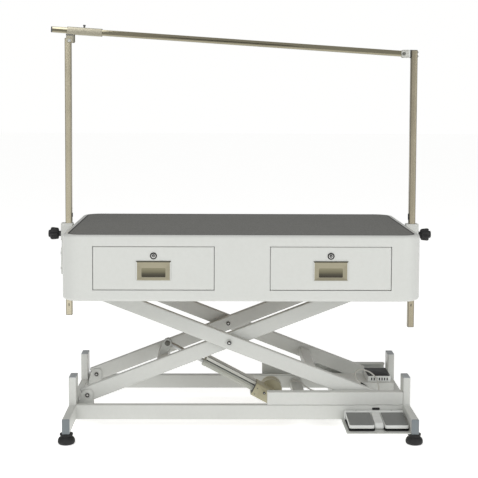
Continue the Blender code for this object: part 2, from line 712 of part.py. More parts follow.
def scissor():
    inner = pivot("inner_arms_pivot", LOWER_PIVOT, MIDDLE_Y)
    outer = pivot("outer_arms_pivot", CENTRE, MIDDLE_Y)
    front_inner = inner_arm("front_inner_arm", FRONT_INNER_Y, -1)
    rear_inner = inner_arm("rear_inner_arm", REAR_INNER_Y, 1)
    front_outer = outer_arm("front_outer_arm", FRONT_OUTER_Y, -1)
    rear_outer = outer_arm("rear_outer_arm", REAR_OUTER_Y, 1)
    inner_tube = cross_tube("inner_cross_tube", INNER_CROSS_AT, 0.0, FRONT_INNER_Y + TUBE_W + GAP,
                            REAR_INNER_Y - GAP, ARM_ANGLE, LOWER_PIVOT)
    rod_fork(inner_tube)
    outer_tube = cross_tube("outer_cross_tube", OUTER_CROSS_AT, 0.0, FRONT_OUTER_Y + TUBE_W + GAP,
                            REAR_OUTER_Y - GAP, -ARM_ANGLE, CENTRE)
    ride(inner, front_inner, rear_inner, inner_tube)
    ride(outer, front_outer, rear_outer, outer_tube)
    front0 = FRONT_BEAM_Y + TRACK_WALL + 0.0015
    rear0 = REAR_BEAM_Y + TUBE_W - TRACK_WALL - 0.0015 - ROLLER_W
    for y0, end in ((front0, "front"), (rear0, "rear")):
        for z, level in ((PIVOT_Z, "lower"), (UPPER_Z, "upper")):
            wheel = roller("%s_%s_roller" % (end, level), ROLLER_X, z, y0, y0 + ROLLER_W)
            axle = pivot("%s_%s_axle" % (end, level), (ROLLER_X, 0, z), y0)
            ride(axle, wheel)


# ---- actuator --------------------------------------------------------------------
def along_actuator(name, outline, low, high):
    """A prism along the actuator's axis, laid flat first and then turned up."""
    thing = prism(name, [(ACTUATOR_Y + u, ACTUATOR_Z + v) for u, v in outline], "X",
                  ACTUATOR_X - high, ACTUATOR_X - low, CAST, smooth=True)
    return turn(thing, ACTUATOR_PIVOT, -ACTUATOR_ANGLE)


def actuator_body():
    block = along_actuator("actuator_gearbox", rounded_outline(*GEARBOX_SIZE, GEARBOX_RADIUS),
                           GEARBOX_FROM, GEARBOX_TO)
    weld(block, along_actuator("lug", rounded_outline(*LUG_SIZE, 0.002, 1), LUG_FROM, GEARBOX_FROM + 0.002))
    cut(block, cylinder("bore", "Y", (ACTUATOR_X, ACTUATOR_Z), ACTUATOR_Y - MOUNT_PIN_HALF,
                        ACTUATOR_Y + MOUNT_PIN_HALF, BORE_R, CAST))
    motor = cylinder("motor", "Y", (ACTUATOR_X - MOTOR_ALONG, ACTUATOR_Z + MOTOR_UP),
                     ACTUATOR_Y + MOTOR_ACROSS[0], ACTUATOR_Y + MOTOR_ACROSS[1], MOTOR_R, CAST)
    weld(block, turn(motor, ACTUATOR_PIVOT, -ACTUATOR_ANGLE))
    rod_hole = circle(ROD_R + ROD_CLEAR, 16)
    return cut(block, along_actuator("bore", rod_hole, ROD_BORE_TO, GEARBOX_TO + OVERCUT))


def actuator_tube():
    """The housing tube with the flat rail along its back."""
    start = GEARBOX_TO + GAP
    tube = along_actuator("actuator_tube", circle(HOUSING_TUBE_R, 20), start, HOUSING_TUBE_TO)
    shape = [(u + RAIL_CENTRE[0], v + RAIL_CENTRE[1]) for u, v in rounded_outline(*RAIL_SIZE, 0.002, 1)]
    weld(tube, along_actuator("rail", shape, start, RAIL_TO))
    return cut(tube, along_actuator("bore", circle(ROD_R + ROD_CLEAR, 16), start - OVERCUT,
                                    HOUSING_TUBE_TO + OVERCUT))


def actuator_rod():
    """The rod and the eye at its end."""
    rod = along_actuator("actuator_rod", circle(ROD_R, 16), ROD_RUN - ROD_LENGTH, ROD_RUN - 0.004)
    eye = cylinder("eye", "Y", (ACTUATOR_X - ROD_RUN, ACTUATOR_Z), ACTUATOR_Y - EYE_HALF_T,
                   ACTUATOR_Y + EYE_HALF_T, EYE_R, ZINC, 20)
    return weld(rod, turn(eye, ACTUATOR_PIVOT, -ACTUATOR_ANGLE))


def actuator():
    body = pivot("actuator_pivot", ACTUATOR_PIVOT, ACTUATOR_Y)
    slide = pivot("actuator_rod_end", ROD_EYE, ACTUATOR_Y)
    ride(body, actuator_body(), actuator_tube())
    ride(slide, actuator_rod())


# ---- top -------------------------------------------------------------------------
def housing_shell():
    """The sheet housing: a tub turned upside down, with a raised rim round the mat."""
    outer = rounded_outline(TOP_LENGTH, TOP_WIDTH, HOUSING_RADIUS, 8)
    shell = prism("housing_shell", outer, "Z", HOUSING_Z0, TOP_Z, PAINT)
    modifier = shell.modifiers.new("bevel", "BEVEL")
    modifier.width = 0.008
    modifier.segments = 3
    modifier.angle_limit = math.radians(60)
    apply_modifiers(shell)
    inner = rounded_outline(TOP_LENGTH - 2 * SHEET, TOP_WIDTH - 2 * SHEET, HOUSING_RADIUS - SHEET, 8)
    cavity = prism("cavity", inner, "Z", HOUSING_Z0 - 0.01, SKIN_BOTTOM, PAINT)
    seat = rounded_outline(TOP_LENGTH - 2 * RIM, TOP_WIDTH - 2 * RIM, HOUSING_RADIUS - RIM, 6)
    cut(shell, cavity)
    cut(shell, prism("seat", seat, "Z", TOP_Z - MAT_THICKNESS - GAP, TOP_Z + 0.01, PAINT))
    for x in DRAWER_X:
        half = DRAWER_W / 2 + DRAWER_GAP
        cut(shell, box("window", (x - half, FRONT_FACE_Y - OVERCUT, DRAWER_Z0 - DRAWER_GAP),
                       (x + half, FRONT_FACE_Y + OVERCUT, DRAWER_Z0 + DRAWER_H + DRAWER_GAP), PAINT))
    weld(shell, box("deck", (-DECK_HALF, FRONT_FACE_Y + SHEET / 2, DECK_Z[0]),
                    (DECK_HALF, DECK_BACK_Y, DECK_Z[1]), PAINT))
    shell.data.shade_smooth()
    shell.data.set_sharp_from_angle(angle=math.radians(35))
    return shell


def table_board():
    shape = rounded_outline(TOP_LENGTH - 2 * SHEET - 0.002, TOP_WIDTH - 2 * SHEET - 0.002,
                            HOUSING_RADIUS - SHEET - 0.001, 6)
    top = SKIN_BOTTOM - GAP
    return prism("table_board", shape, "Z", top - BOARD_THICKNESS, top, BOARD)


def rubber_mat():
    shape = rounded_outline(TOP_LENGTH - 2 * RIM - 0.001, TOP_WIDTH - 2 * RIM - 0.001,
                            HOUSING_RADIUS - RIM - 0.0005, 6)
    return prism("rubber_mat", shape, "Z", TOP_Z - MAT_THICKNESS, TOP_Z, MAT_RUBBER)


def upper_frame():
    """The channels that guide the upper rollers, and the end bars that carry them."""
    z0 = UPPER_Z - UPPER_CHANNEL_DROP
    x1 = UPPER_INNER - GAP
    things = []
    for name, web, opening in (("front_upper_channel", FRONT_BEAM_Y, FRONT_BEAM_Y + TRACK_DEPTH),
                               ("rear_upper_channel", REAR_BEAM_Y + TUBE_W,
                                REAR_BEAM_Y + TUBE_W - TRACK_DEPTH)):
        rail = channel(name, web, opening, z0, z0 + TRACK_HEIGHT, -x1, x1)
        inward = 1 if opening > web else -1
        ends = (web + inward * 0.001, web + inward * UPPER_PIN_REACH)
        pin = cylinder("pin", "Y", (PIVOT_X, UPPER_Z), min(ends), max(ends), PIN_R, ZINC, 12)
        things.append(weld(rail, pin))
    for side, name in ((-1, "upper_left_end_bar"), (1, "upper_right_end_bar")):
        centre = (side * (UPPER_HALF - TUBE_W / 2), UPPER_BAR_Z)
        things.append(hollow_tube(name, "Y", centre, (TUBE_W, TUBE_H), FRONT_BEAM_Y,
                                  REAR_BEAM_Y + TUBE_W, PAINT))
    return things


def drawer(name, x):
    """A folded sheet drawer with its front panel, with a window for the pull."""
    y0 = FRONT_FACE_Y
    y1 = y0 + DRAWER_DEPTH
    half = DRAWER_W / 2 - DRAWER_SIDE
    sheet = DRAWER_SHEET
    z0 = DRAWER_Z0 + 2 * sheet
    z1 = z0 + DRAWER_BOX_H
    body = box(name, (x - half, y0 + DRAWER_FRONT_T / 2, z0), (x + half, y1, z1), PAINT)
    cut(body, box("inside", (x - half + sheet, y0 + DRAWER_FRONT_T - 0.001, z0 + sheet),
                  (x + half - sheet, y1 - sheet, z1 + OVERCUT), PAINT))
    weld(body, box("face", (x - DRAWER_W / 2, y0, DRAWER_Z0),
                   (x + DRAWER_W / 2, y0 + DRAWER_FRONT_T, DRAWER_Z0 + DRAWER_H), PAINT, 0.002, 1))
    half_w = RECESS_W / 2 + CUP_WALL + CUP_CLEAR
    half_h = RECESS_H / 2 + CUP_WALL + CUP_CLEAR
    cut(body, box("window", (x - half_w, y0 - OVERCUT, RECESS_Z - half_h),
                  (x + half_w, y0 + 2 * OVERCUT, RECESS_Z + half_h), PAINT))
    return cut(body, cylinder("hole", "Y", (x, LOCK_Z), y0 - OVERCUT, y0 + 2 * OVERCUT,
                              LOCK_BARREL_R + 0.0007, PAINT))


def pull(name, x):
    """A recessed pull: a plate on the drawer's face with a cup behind it."""
    y0 = FRONT_FACE_Y
    plate = box(name, (x - PULL_W / 2, y0 - GAP - PULL_T, PULL_Z - PULL_H / 2),
                (x + PULL_W / 2, y0 - GAP, PULL_Z + PULL_H / 2), STAINLESS, 0.0008, 1)
    half_w = RECESS_W / 2 + CUP_WALL
    half_h = RECESS_H / 2 + CUP_WALL
    weld(plate, box("cup", (x - half_w, y0 - PULL_T / 2, RECESS_Z - half_h),
                    (x + half_w, y0 + RECESS_DEPTH + GAP + 0.0015, RECESS_Z + half_h), STAINLESS))
    return cut(plate, box("recess", (x - RECESS_W / 2, y0 - OVERCUT, RECESS_Z - RECESS_H / 2),
                          (x + RECESS_W / 2, y0 + RECESS_DEPTH, RECESS_Z + RECESS_H / 2), STAINLESS))


def lock(name, x):
    """A cam lock: a round head in the drawer's face, with its barrel behind."""
    y0 = FRONT_FACE_Y
    head = cylinder(name, "Y", (x, LOCK_Z), y0 - GAP - PULL_T, y0 - GAP, LOCK_R, STAINLESS, 24)
    barrel = cylinder("barrel", "Y", (x, LOCK_Z), y0 - PULL_T / 2, y0 + LOCK_BARREL_TO, LOCK_BARREL_R,
                      STAINLESS, 16)
    return weld(head, barrel)


def drawers():
    for x, word in zip(DRAWER_X, ("left", "right")):
        slide = pivot("%s_drawer_slide" % word, (x, 0, LOCK_Z), FRONT_FACE_Y)
        ride(slide, drawer("%s_drawer" % word, x), pull("%s_pull" % word, x), lock("%s_lock" % word, x))


# ---- gantry ----------------------------------------------------------------------
def clamp_bracket(name, side, post_x, out):
    """The block on the end of the housing that a post slides in."""
    clear = POST_SIZE / 2 + POST_CLEAR
    inner = TOP_LENGTH / 2 + GAP
    half = clear + BRACKET_WALL
    low = (min(side * inner, side * out), -half, BRACKET_Z[0])
    high = (max(side * inner, side * out), half, BRACKET_Z[1])
    block = box(name, low, high, PAINT, 0.003, 2)
    ends = sorted((side * (out - BRACKET_NOTCH), side * (out + OVERCUT)))
    notch = box("notch", (ends[0], -half - OVERCUT, BRACKET_NOTCH_Z[0]),
                (ends[1], half + OVERCUT, BRACKET_NOTCH_Z[1]), PAINT)
    hole = box("slot", (post_x - clear, -clear, BRACKET_Z[0] - OVERCUT),
               (post_x + clear, clear, BRACKET_Z[1] + OVERCUT), PAINT)
    return cut(block, notch, hole)


def knob(name, side, out):
    """A star knob on the outer face of a clamp bracket."""
    steps = KNOB_LOBES * 6
    outline = []
    for step in range(steps):
        angle = 2 * math.pi * step / steps
        radius = KNOB_R * (0.88 + 0.12 * math.cos(KNOB_LOBES * angle))
        outline.append((radius * math.cos(angle), KNOB_Z + radius * math.sin(angle)))
    start = out + GAP
    ends = sorted((side * (start + KNOB_HEAD[0]), side * (start + KNOB_HEAD[1])))
    head = prism(name, outline, "X", *ends, RUBBER, smooth=True)
    middle = start + sum(KNOB_HEAD) / 2
    for low, high, radius in ((start, middle, KNOB_NECK_R), (middle, start + KNOB_END, KNOB_END_R)):
        ends = sorted((side * low, side * high))
        weld(head, cylinder("hub", "X", (0.0, KNOB_Z), *ends, radius, RUBBER, 20))
    return head


def post(name, x, z0, z1):
    return hollow_tube(name, "Z", (x, 0.0), (POST_SIZE, POST_SIZE), z0, z1, STAINLESS,
                       wall=GANTRY_WALL, radius=0.002)


def left_post():
    """The left post with the pin that the sleeve's hanger turns on."""
    thing = post("left_post", LEFT_POST_X, *LEFT_POST_Z)
    reach = POST_SIZE / 2 + HANGER_CLEAR + HANGER_T + 0.002
    return weld(thing, cylinder("pin", "Y", SLEEVE_PIVOT, -reach, reach, FORK_PIN_R, ZINC, 12))


def right_post():
    """The right post with the fork on its inner side that holds the bar."""
    thing = post("right_post", RIGHT_POST_X, *RIGHT_POST_Z)
    x_face = RIGHT_POST_X - POST_SIZE / 2
    half = BAR_SIZE / 2 + FORK_CLEAR
    weld(thing, box("plate", (x_face - FORK_T, -half - FORK_T, FORK_Z[0]),
                    (x_face + 0.001, half + FORK_T, FORK_Z[1]), PAINT))
    for sign in (-1, 1):
        y = sign * (half + FORK_T / 2)
        weld(thing, box("cheek", (BAR_PIVOT[0] - FORK_REACH, y - FORK_T / 2, FORK_Z[0]),
                        (x_face - 0.001, y + FORK_T / 2, FORK_Z[1]), PAINT))
    reach = half + 2 * FORK_T
    return weld(thing, cylinder("pin", "Y", BAR_PIVOT, -reach, reach, FORK_PIN_R, ZINC, 12))


def top_bar():
    """The square bar, hinged on the right post and sliding in the sleeve."""
    length = (BAR_PIVOT[0] - BAR_LEFT) / math.cos(BAR_TILT)
    bar = hollow_tube("top_bar", "X", (0.0, BAR_PIVOT[1]), (BAR_SIZE, BAR_SIZE), BAR_PIVOT[0] - length,
                      BAR_PIVOT[0] + BAR_BEYOND, STAINLESS, wall=GANTRY_WALL, radius=0.002)
    cut(bar, cylinder("bore", "Y", BAR_PIVOT, -BAR_SIZE, BAR_SIZE, FORK_PIN_R + 0.0005, STAINLESS, 12))
    return turn(bar, (BAR_PIVOT[0], 0, BAR_PIVOT[1]), -BAR_TILT)


def bar_height(x):
    return BAR_PIVOT[1] + (BAR_PIVOT[0] - x) * math.tan(BAR_TILT)


def sleeve():
    """The sleeve round the bar, with the two hanger plates that hold the left post."""
    middle = (SLEEVE_X[0] + SLEEVE_X[1]) / 2
    z = bar_height(middle)
    tube = hollow_tube("bar_sleeve", "X", (0.0, z), (SLEEVE_SIZE, SLEEVE_SIZE), SLEEVE_X[0], SLEEVE_X[1],
                       STAINLESS, wall=SLEEVE_WALL, radius=0.003)
    turn(tube, (middle, 0, z), -BAR_TILT)
    inside = POST_SIZE / 2 + HANGER_CLEAR
    for ends in ((-inside - HANGER_T, -inside), (inside, inside + HANGER_T)):
        weld(tube, box("hanger", (SLEEVE_PIVOT[0] + HANGER_X[0], ends[0], HANGER_Z[0]),
                       (SLEEVE_PIVOT[0] + HANGER_X[1], ends[1], HANGER_Z[1]), STAINLESS))
    return cut(tube, cylinder("bore", "Y", SLEEVE_PIVOT, -BAR_SIZE, BAR_SIZE, FORK_PIN_R + 0.0005,
                              STAINLESS, 12))


def thumb_screw():
    """The screw on the sleeve that locks the bar."""
    z = bar_height(THUMB_X) + SLEEVE_SIZE / 2 + 0.0010
    neck = THUMB_R * 0.6
    step = THUMB_H * 0.25
    profile = ((0, 0), (neck, 0), (neck, step), (THUMB_R, step + 0.0005), (THUMB_R, THUMB_H - 0.001),
               (THUMB_R - 0.001, THUMB_H), (0, THUMB_H))
    screw = turned("thumb_screw", profile, ZINC)
    screw.location = (THUMB_X, 0, z)
    return screw


def gantry():
    things = []
    for word, side, x, out in (("left", -1, LEFT_POST_X, BRACKET_OUT[0]),
                               ("right", 1, RIGHT_POST_X, BRACKET_OUT[1])):
        things.append(clamp_bracket("%s_clamp_bracket" % word, side, x, out))
        things.append(knob("%s_knob" % word, side, out))
    left = pivot("left_post_slide", (LEFT_POST_X, 0, KNOB_Z))
    right = pivot("right_post_slide", (RIGHT_POST_X, 0, KNOB_Z))
    bar_hinge = pivot("bar_pivot", (BAR_PIVOT[0], 0, BAR_PIVOT[1]))
    sleeve_hinge = pivot("sleeve_pivot", (SLEEVE_PIVOT[0], 0, SLEEVE_PIVOT[1]))
    ride(left, left_post())
    ride(right, right_post())
    ride(bar_hinge, top_bar())
    ride(sleeve_hinge, sleeve(), thumb_screw())
    return things


def table_top():
    top = pivot("top_pivot", UPPER_PIVOT, MIDDLE_Y)
    things = [housing_shell(), table_board(), rubber_mat()]
    ride(top, *things, *upper_frame(), *gantry())


def build():
    clear_scene()
    base_frame()
    stop_posts()
    feet()
    lower_tracks()
    lower_brackets()
    actuator_mount()
    control_tray()
    base_cables()
    foot_switch()
    scissor()
    actuator()
    table_top()
    drawers()


build()
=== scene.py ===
"""The looks of the electric grooming table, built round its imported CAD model.

Metres, +Z up, in the CAD model's frame: X along the table, drawers facing -Y.
"""
import json
import math

import bmesh
import bpy
from mathutils import Matrix, Vector


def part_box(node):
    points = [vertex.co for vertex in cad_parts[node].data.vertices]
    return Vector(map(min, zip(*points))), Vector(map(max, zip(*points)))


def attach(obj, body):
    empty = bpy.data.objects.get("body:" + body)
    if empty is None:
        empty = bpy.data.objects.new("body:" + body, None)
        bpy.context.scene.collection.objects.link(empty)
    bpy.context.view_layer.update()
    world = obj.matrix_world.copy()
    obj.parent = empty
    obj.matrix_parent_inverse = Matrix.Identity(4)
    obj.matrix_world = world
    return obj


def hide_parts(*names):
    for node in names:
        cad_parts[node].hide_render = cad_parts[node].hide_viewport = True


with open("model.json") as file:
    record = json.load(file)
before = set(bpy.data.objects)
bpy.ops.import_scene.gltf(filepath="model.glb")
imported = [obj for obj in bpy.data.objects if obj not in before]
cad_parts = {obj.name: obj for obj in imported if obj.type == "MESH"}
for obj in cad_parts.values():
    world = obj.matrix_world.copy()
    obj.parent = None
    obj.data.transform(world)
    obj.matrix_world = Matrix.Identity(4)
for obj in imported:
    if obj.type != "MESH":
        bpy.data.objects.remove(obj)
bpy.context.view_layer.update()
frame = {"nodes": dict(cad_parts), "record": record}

NODES = frame["nodes"]


# ---- measures from the frame ---------------------------------------------------------
def low(node):
    return Vector(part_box(node)[0])


def high(node):
    return Vector(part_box(node)[1])


def middle(node):
    return (low(node) + high(node)) / 2


TOP_Z = high("rubber_mat").z
SHELL_LOW = low("housing_shell")
SHELL_HIGH = high("housing_shell")
FRONT_Y = SHELL_LOW.y
ARM_ANGLE = math.radians(21.15)
LOWER_PIVOT = Vector((-0.518, 0.0, 0.104))
ARM_LENGTH = 1.0336
ARM_OVERHANG = 0.016
UP_ARM = Vector((math.cos(ARM_ANGLE), 0.0, math.sin(ARM_ANGLE)))
UP_ARM_NORMAL = Vector((-math.sin(ARM_ANGLE), 0.0, math.cos(ARM_ANGLE)))
CENTRE = LOWER_PIVOT + UP_ARM * (ARM_LENGTH / 2)
UPPER_PIVOT = Vector((LOWER_PIVOT.x, 0.0, LOWER_PIVOT.z + ARM_LENGTH * math.sin(ARM_ANGLE)))
ROD_EYE = LOWER_PIVOT + UP_ARM * 0.3008 + UP_ARM_NORMAL * 0.0402
ACTUATOR_PIVOT = Vector((0.140, 0.0, 0.044))
ACTUATOR_Y = 0.068
ACTUATOR_ANGLE = math.atan2(ROD_EYE.z - ACTUATOR_PIVOT.z, ACTUATOR_PIVOT.x - ROD_EYE.x)
BAR_TILT = math.radians(3.7)
BAR_PIVOT = Vector((0.560, 0.0, 1.2690))
SLEEVE_PIVOT = Vector((-0.5840, 0.0, 1.3085))
X_AXIS = Vector((1, 0, 0))
Y_AXIS = Vector((0, 1, 0))
FRONT = -Y_AXIS
REAR = Y_AXIS
Z_AXIS = Vector((0, 0, 1))
LEFT_POST_X = -0.5900
RIGHT_POST_X = 0.5965
BAR_AXIS = Vector((-math.cos(BAR_TILT), 0.0, math.sin(BAR_TILT)))
BAR_UP = Vector((math.sin(BAR_TILT), 0.0, math.cos(BAR_TILT)))


# ---- camera --------------------------------------------------------------------------
def make_camera():
    data = bpy.data.cameras.new("camera")
    camera = bpy.data.objects.new("camera", data)
    bpy.context.scene.collection.objects.link(camera)
    camera.location = (-0.0800, -3.7199, 1.1168)
    yaw = 0.0117
    pitch = 0.0601
    roll = 0.0040
    turn = Matrix.Rotation(-yaw, 3, "Z") @ Matrix.Rotation(math.pi / 2 - pitch, 3, "X")
    camera.rotation_euler = (turn @ Matrix.Rotation(roll, 3, "Z")).to_euler()
    data.sensor_width = 36.0
    data.lens = 36.0 * 1079.9 / 478
    data.shift_x = 0.020
    data.shift_y = -0.160
    bpy.context.scene.camera = camera


make_camera()


# ---- node helpers for materials --------------------------------------------------------
def new_material(name):
    made = bpy.data.materials.new(name)
    made.use_nodes = True
    tree = made.node_tree
    return made, tree, tree.nodes["Principled BSDF"]


def add_node(tree, kind, **values):
    node = tree.nodes.new(kind)
    for key, value in values.items():
        setattr(node, key, value)
    return node


def object_coordinates(tree, scale=(1.0, 1.0, 1.0), turn=(0.0, 0.0, 0.0)):
    """Coordinates in metres in the table's frame, stretched for a grain."""
    place = add_node(tree, "ShaderNodeTexCoord")
    mapping = add_node(tree, "ShaderNodeMapping")
    mapping.inputs["Scale"].default_value = scale
    mapping.inputs["Rotation"].default_value = turn
    tree.links.new(place.outputs["Object"], mapping.inputs["Vector"])
    return mapping.outputs["Vector"]


def noise(tree, vector, scale, detail=3.0, rough=0.55):
    node = add_node(tree, "ShaderNodeTexNoise")
    node.inputs["Scale"].default_value = scale
    node.inputs["Detail"].default_value = detail
    node.inputs["Roughness"].default_value = rough
    tree.links.new(vector, node.inputs["Vector"])
    return node.outputs["Fac"]


def spread(tree, value, low_in, high_in, low_out, high_out):
    node = add_node(tree, "ShaderNodeMapRange")
    for socket, number in (("From Min", low_in), ("From Max", high_in), ("To Min", low_out),
                           ("To Max", high_out)):
        node.inputs[socket].default_value = number
    tree.links.new(value, node.inputs["Value"])
    return node.outputs["Result"]


def ramp(tree, value, stops):
    """A colour ramp from (place, (r, g, b)) stops."""
    node = add_node(tree, "ShaderNodeValToRGB")
    elements = node.color_ramp.elements
    while len(elements) < len(stops):
        elements.new(0.5)
    for element, (place, colour) in zip(elements, stops):
        element.position = place
        element.color = (*colour, 1.0)
    tree.links.new(value, node.inputs["Fac"])
    return node.outputs["Color"]


def mix_colour(tree, factor, first, second, blend="MIX"):
    node = add_node(tree, "ShaderNodeMix", data_type="RGBA", blend_type=blend)
    for socket, value in (("Factor", factor), ("A", first), ("B", second)):
        plug = [i for i in node.inputs if i.name == socket and i.enabled][0]
        if hasattr(value, "is_output"):
            tree.links.new(value, plug)
        else:
            plug.default_value = value
    return [o for o in node.outputs if o.enabled][0]


def bump(tree, shader, height, strength, distance):
    node = add_node(tree, "ShaderNodeBump")
    node.inputs["Strength"].default_value = strength
    node.inputs["Distance"].default_value = distance
    tree.links.new(height, node.inputs["Height"])
    tree.links.new(node.outputs["Normal"], shader.inputs["Normal"])
    return node


def link(tree, output, shader, socket):
    tree.links.new(output, shader.inputs[socket])


def shade(colour, factor):
    return tuple(min(1.0, channel * factor) for channel in colour)


# ---- materials -------------------------------------------------------------------------
def powder_coat(name, colour, dirt=0.04):
    """Smooth enamel with orange peel, a faint mottle and fine specks."""
    made, tree, shader = new_material(name)
    where = object_coordinates(tree)
    mottle = noise(tree, where, 6.0, 4.0)
    fine = noise(tree, where, 90.0, 3.0)
    base = ramp(tree, mottle, ((0.30, shade(colour, 1.0 - dirt)), (0.70, colour)))
    specks = ramp(tree, fine, ((0.35, (0.97, 0.97, 0.965)), (0.60, (1.0, 1.0, 1.0))))
    painted = mix_colour(tree, 0.6, base, specks, "MULTIPLY")
    link(tree, painted, shader, "Base Color")
    link(tree, spread(tree, fine, 0.3, 0.7, 0.34, 0.46), shader, "Roughness")
    peel = noise(tree, where, 420.0, 2.0)
    bump(tree, shader, peel, 0.10, 0.0004)
    shader.inputs["Coat Weight"].default_value = 0.12
    shader.inputs["Coat Roughness"].default_value = 0.25
    return made


def post_edge_shade(tree, centre):
    """1 on a square post's faces, falling to 0 along its four long edges, which get painted shade."""
    place = add_node(tree, "ShaderNodeTexCoord")
    split = add_node(tree, "ShaderNodeSeparateXYZ")
    tree.links.new(place.outputs["Object"], split.inputs["Vector"])
    reaches = []
    for axis, offset in zip("XY", centre):
        shift = add_node(tree, "ShaderNodeMath", operation="SUBTRACT")
        tree.links.new(split.outputs[axis], shift.inputs[0])
        shift.inputs[1].default_value = offset
        size = add_node(tree, "ShaderNodeMath", operation="ABSOLUTE")
        tree.links.new(shift.outputs[0], size.inputs[0])
        reaches.append(size.outputs[0])
    least = add_node(tree, "ShaderNodeMath", operation="MINIMUM")
    for socket, reach in zip(least.inputs, reaches):
        tree.links.new(reach, socket)
    return spread(tree, least.outputs[0], 0.0075, 0.0098, 1.0, 0.0)


def brushed(name, colour, along, roughness=0.30, metallic=0.85, post_centre=None, relief=0.12):
    """Satin metal with fine lines along one axis, and painted shade along a post's long edges."""
    made, tree, shader = new_material(name)
    scale = [260.0, 260.0, 260.0]
    scale["XYZ".index(along)] = 3.0
    grain = noise(tree, object_coordinates(tree, tuple(scale)), 4.0, 4.0, 0.7)
    cloud = noise(tree, object_coordinates(tree), 9.0, 3.0)
    lines = ramp(tree, grain, ((0.25, shade(colour, 0.86)), (0.75, shade(colour, 1.10))))
    smudge = ramp(tree, cloud, ((0.30, (0.90, 0.90, 0.89)), (0.70, (1.0, 1.0, 1.0))))
    surface = mix_colour(tree, 1.0, lines, smudge, "MULTIPLY")
    if post_centre:
        # painted shade: a post's long edges darkened to 0.38 of its colour
        surface = mix_colour(tree, post_edge_shade(tree, post_centre), (*shade(colour, 0.38), 1.0), surface)
    link(tree, surface, shader, "Base Color")
    link(tree, spread(tree, grain, 0.2, 0.8, roughness * 0.8, roughness * 1.3), shader, "Roughness")
    bump(tree, shader, grain, relief, 0.0003)
    shader.inputs["Metallic"].default_value = metallic
    return made


def plated(name, colour, roughness=0.32):
    """Zinc-plated steel with a faint crystal cloud."""
    made, tree, shader = new_material(name)
    where = object_coordinates(tree)
    cloud = noise(tree, where, 140.0, 4.0)
    link(tree, ramp(tree, cloud, ((0.3, shade(colour, 0.80)), (0.7, colour))), shader, "Base Color")
    link(tree, spread(tree, cloud, 0.3, 0.7, roughness - 0.06, roughness + 0.10), shader, "Roughness")
    bump(tree, shader, noise(tree, where, 500.0, 2.0), 0.10, 0.0003)
    shader.inputs["Metallic"].default_value = 0.9
    return made


def moulded(name, colour, roughness=0.5, grain=700.0, depth=0.0004, strength=0.25, film=0.05):
    """Moulded plastic or rubber with a fine spark-eroded texture and dust."""
    made, tree, shader = new_material(name)
    where = object_coordinates(tree)
    dust = noise(tree, where, 25.0, 5.0, 0.65)
    dusty = tuple(channel * 0.8 + film for channel in colour)
    link(tree, ramp(tree, dust, ((0.40, colour), (0.80, dusty))), shader, "Base Color")
    link(tree, spread(tree, dust, 0.3, 0.8, roughness, roughness + 0.14), shader, "Roughness")
    bump(tree, shader, noise(tree, where, grain, 2.0), strength, depth)
    return made


RIB_SCALE = 2 * math.pi / (20 * 0.0034)


def pebbled_mat(name, colour):
    """Anti-slip rubber with fine ribs across the table and small pits."""
    made, tree, shader = new_material(name)
    where = object_coordinates(tree)
    cell = add_node(tree, "ShaderNodeTexVoronoi", feature="SMOOTH_F1")
    cell.inputs["Scale"].default_value = 210.0
    cell.inputs["Smoothness"].default_value = 0.6
    tree.links.new(where, cell.inputs["Vector"])
    cloud = noise(tree, where, 5.0, 5.0, 0.6)
    base = ramp(tree, cloud, ((0.30, shade(colour, 0.90)), (0.70, shade(colour, 1.06))))
    pits = ramp(tree, cell.outputs["Distance"], ((0.25, (1.0, 1.0, 1.0)), (0.60, (0.62, 0.62, 0.61))))
    rib = add_node(tree, "ShaderNodeTexWave", wave_type="BANDS", bands_direction="X")
    rib.inputs["Scale"].default_value = RIB_SCALE
    rib.inputs["Distortion"].default_value = 0.0
    tree.links.new(where, rib.inputs["Vector"])
    ribbed = ramp(tree, rib.outputs["Fac"], ((0.10, (0.80, 0.80, 0.80)), (0.60, (1.0, 1.0, 1.0))))
    pitted = mix_colour(tree, 0.6, base, pits, "MULTIPLY")
    link(tree, mix_colour(tree, 1.0, pitted, ribbed, "MULTIPLY"), shader, "Base Color")
    link(tree, spread(tree, cloud, 0.3, 0.7, 0.58, 0.74), shader, "Roughness")
    height = spread(tree, cell.outputs["Distance"], 0.0, 0.7, 0.5, 0.0)
    total = add_node(tree, "ShaderNodeMath", operation="ADD")
    tree.links.new(height, total.inputs[0])
    tree.links.new(rib.outputs["Fac"], total.inputs[1])
    bump(tree, shader, total.outputs[0], 0.5, 0.0008)
    return made


def plywood(name):
    made, tree, shader = new_material(name)
    where = object_coordinates(tree, (2.0, 30.0, 30.0))
    grain = noise(tree, where, 6.0, 6.0, 0.6)
    link(tree, ramp(tree, grain, ((0.3, (0.30, 0.19, 0.10)), (0.7, (0.58, 0.43, 0.27)))), shader,
         "Base Color")
    link(tree, spread(tree, grain, 0.3, 0.7, 0.6, 0.75), shader, "Roughness")
    bump(tree, shader, grain, 0.2, 0.0005)
    return made


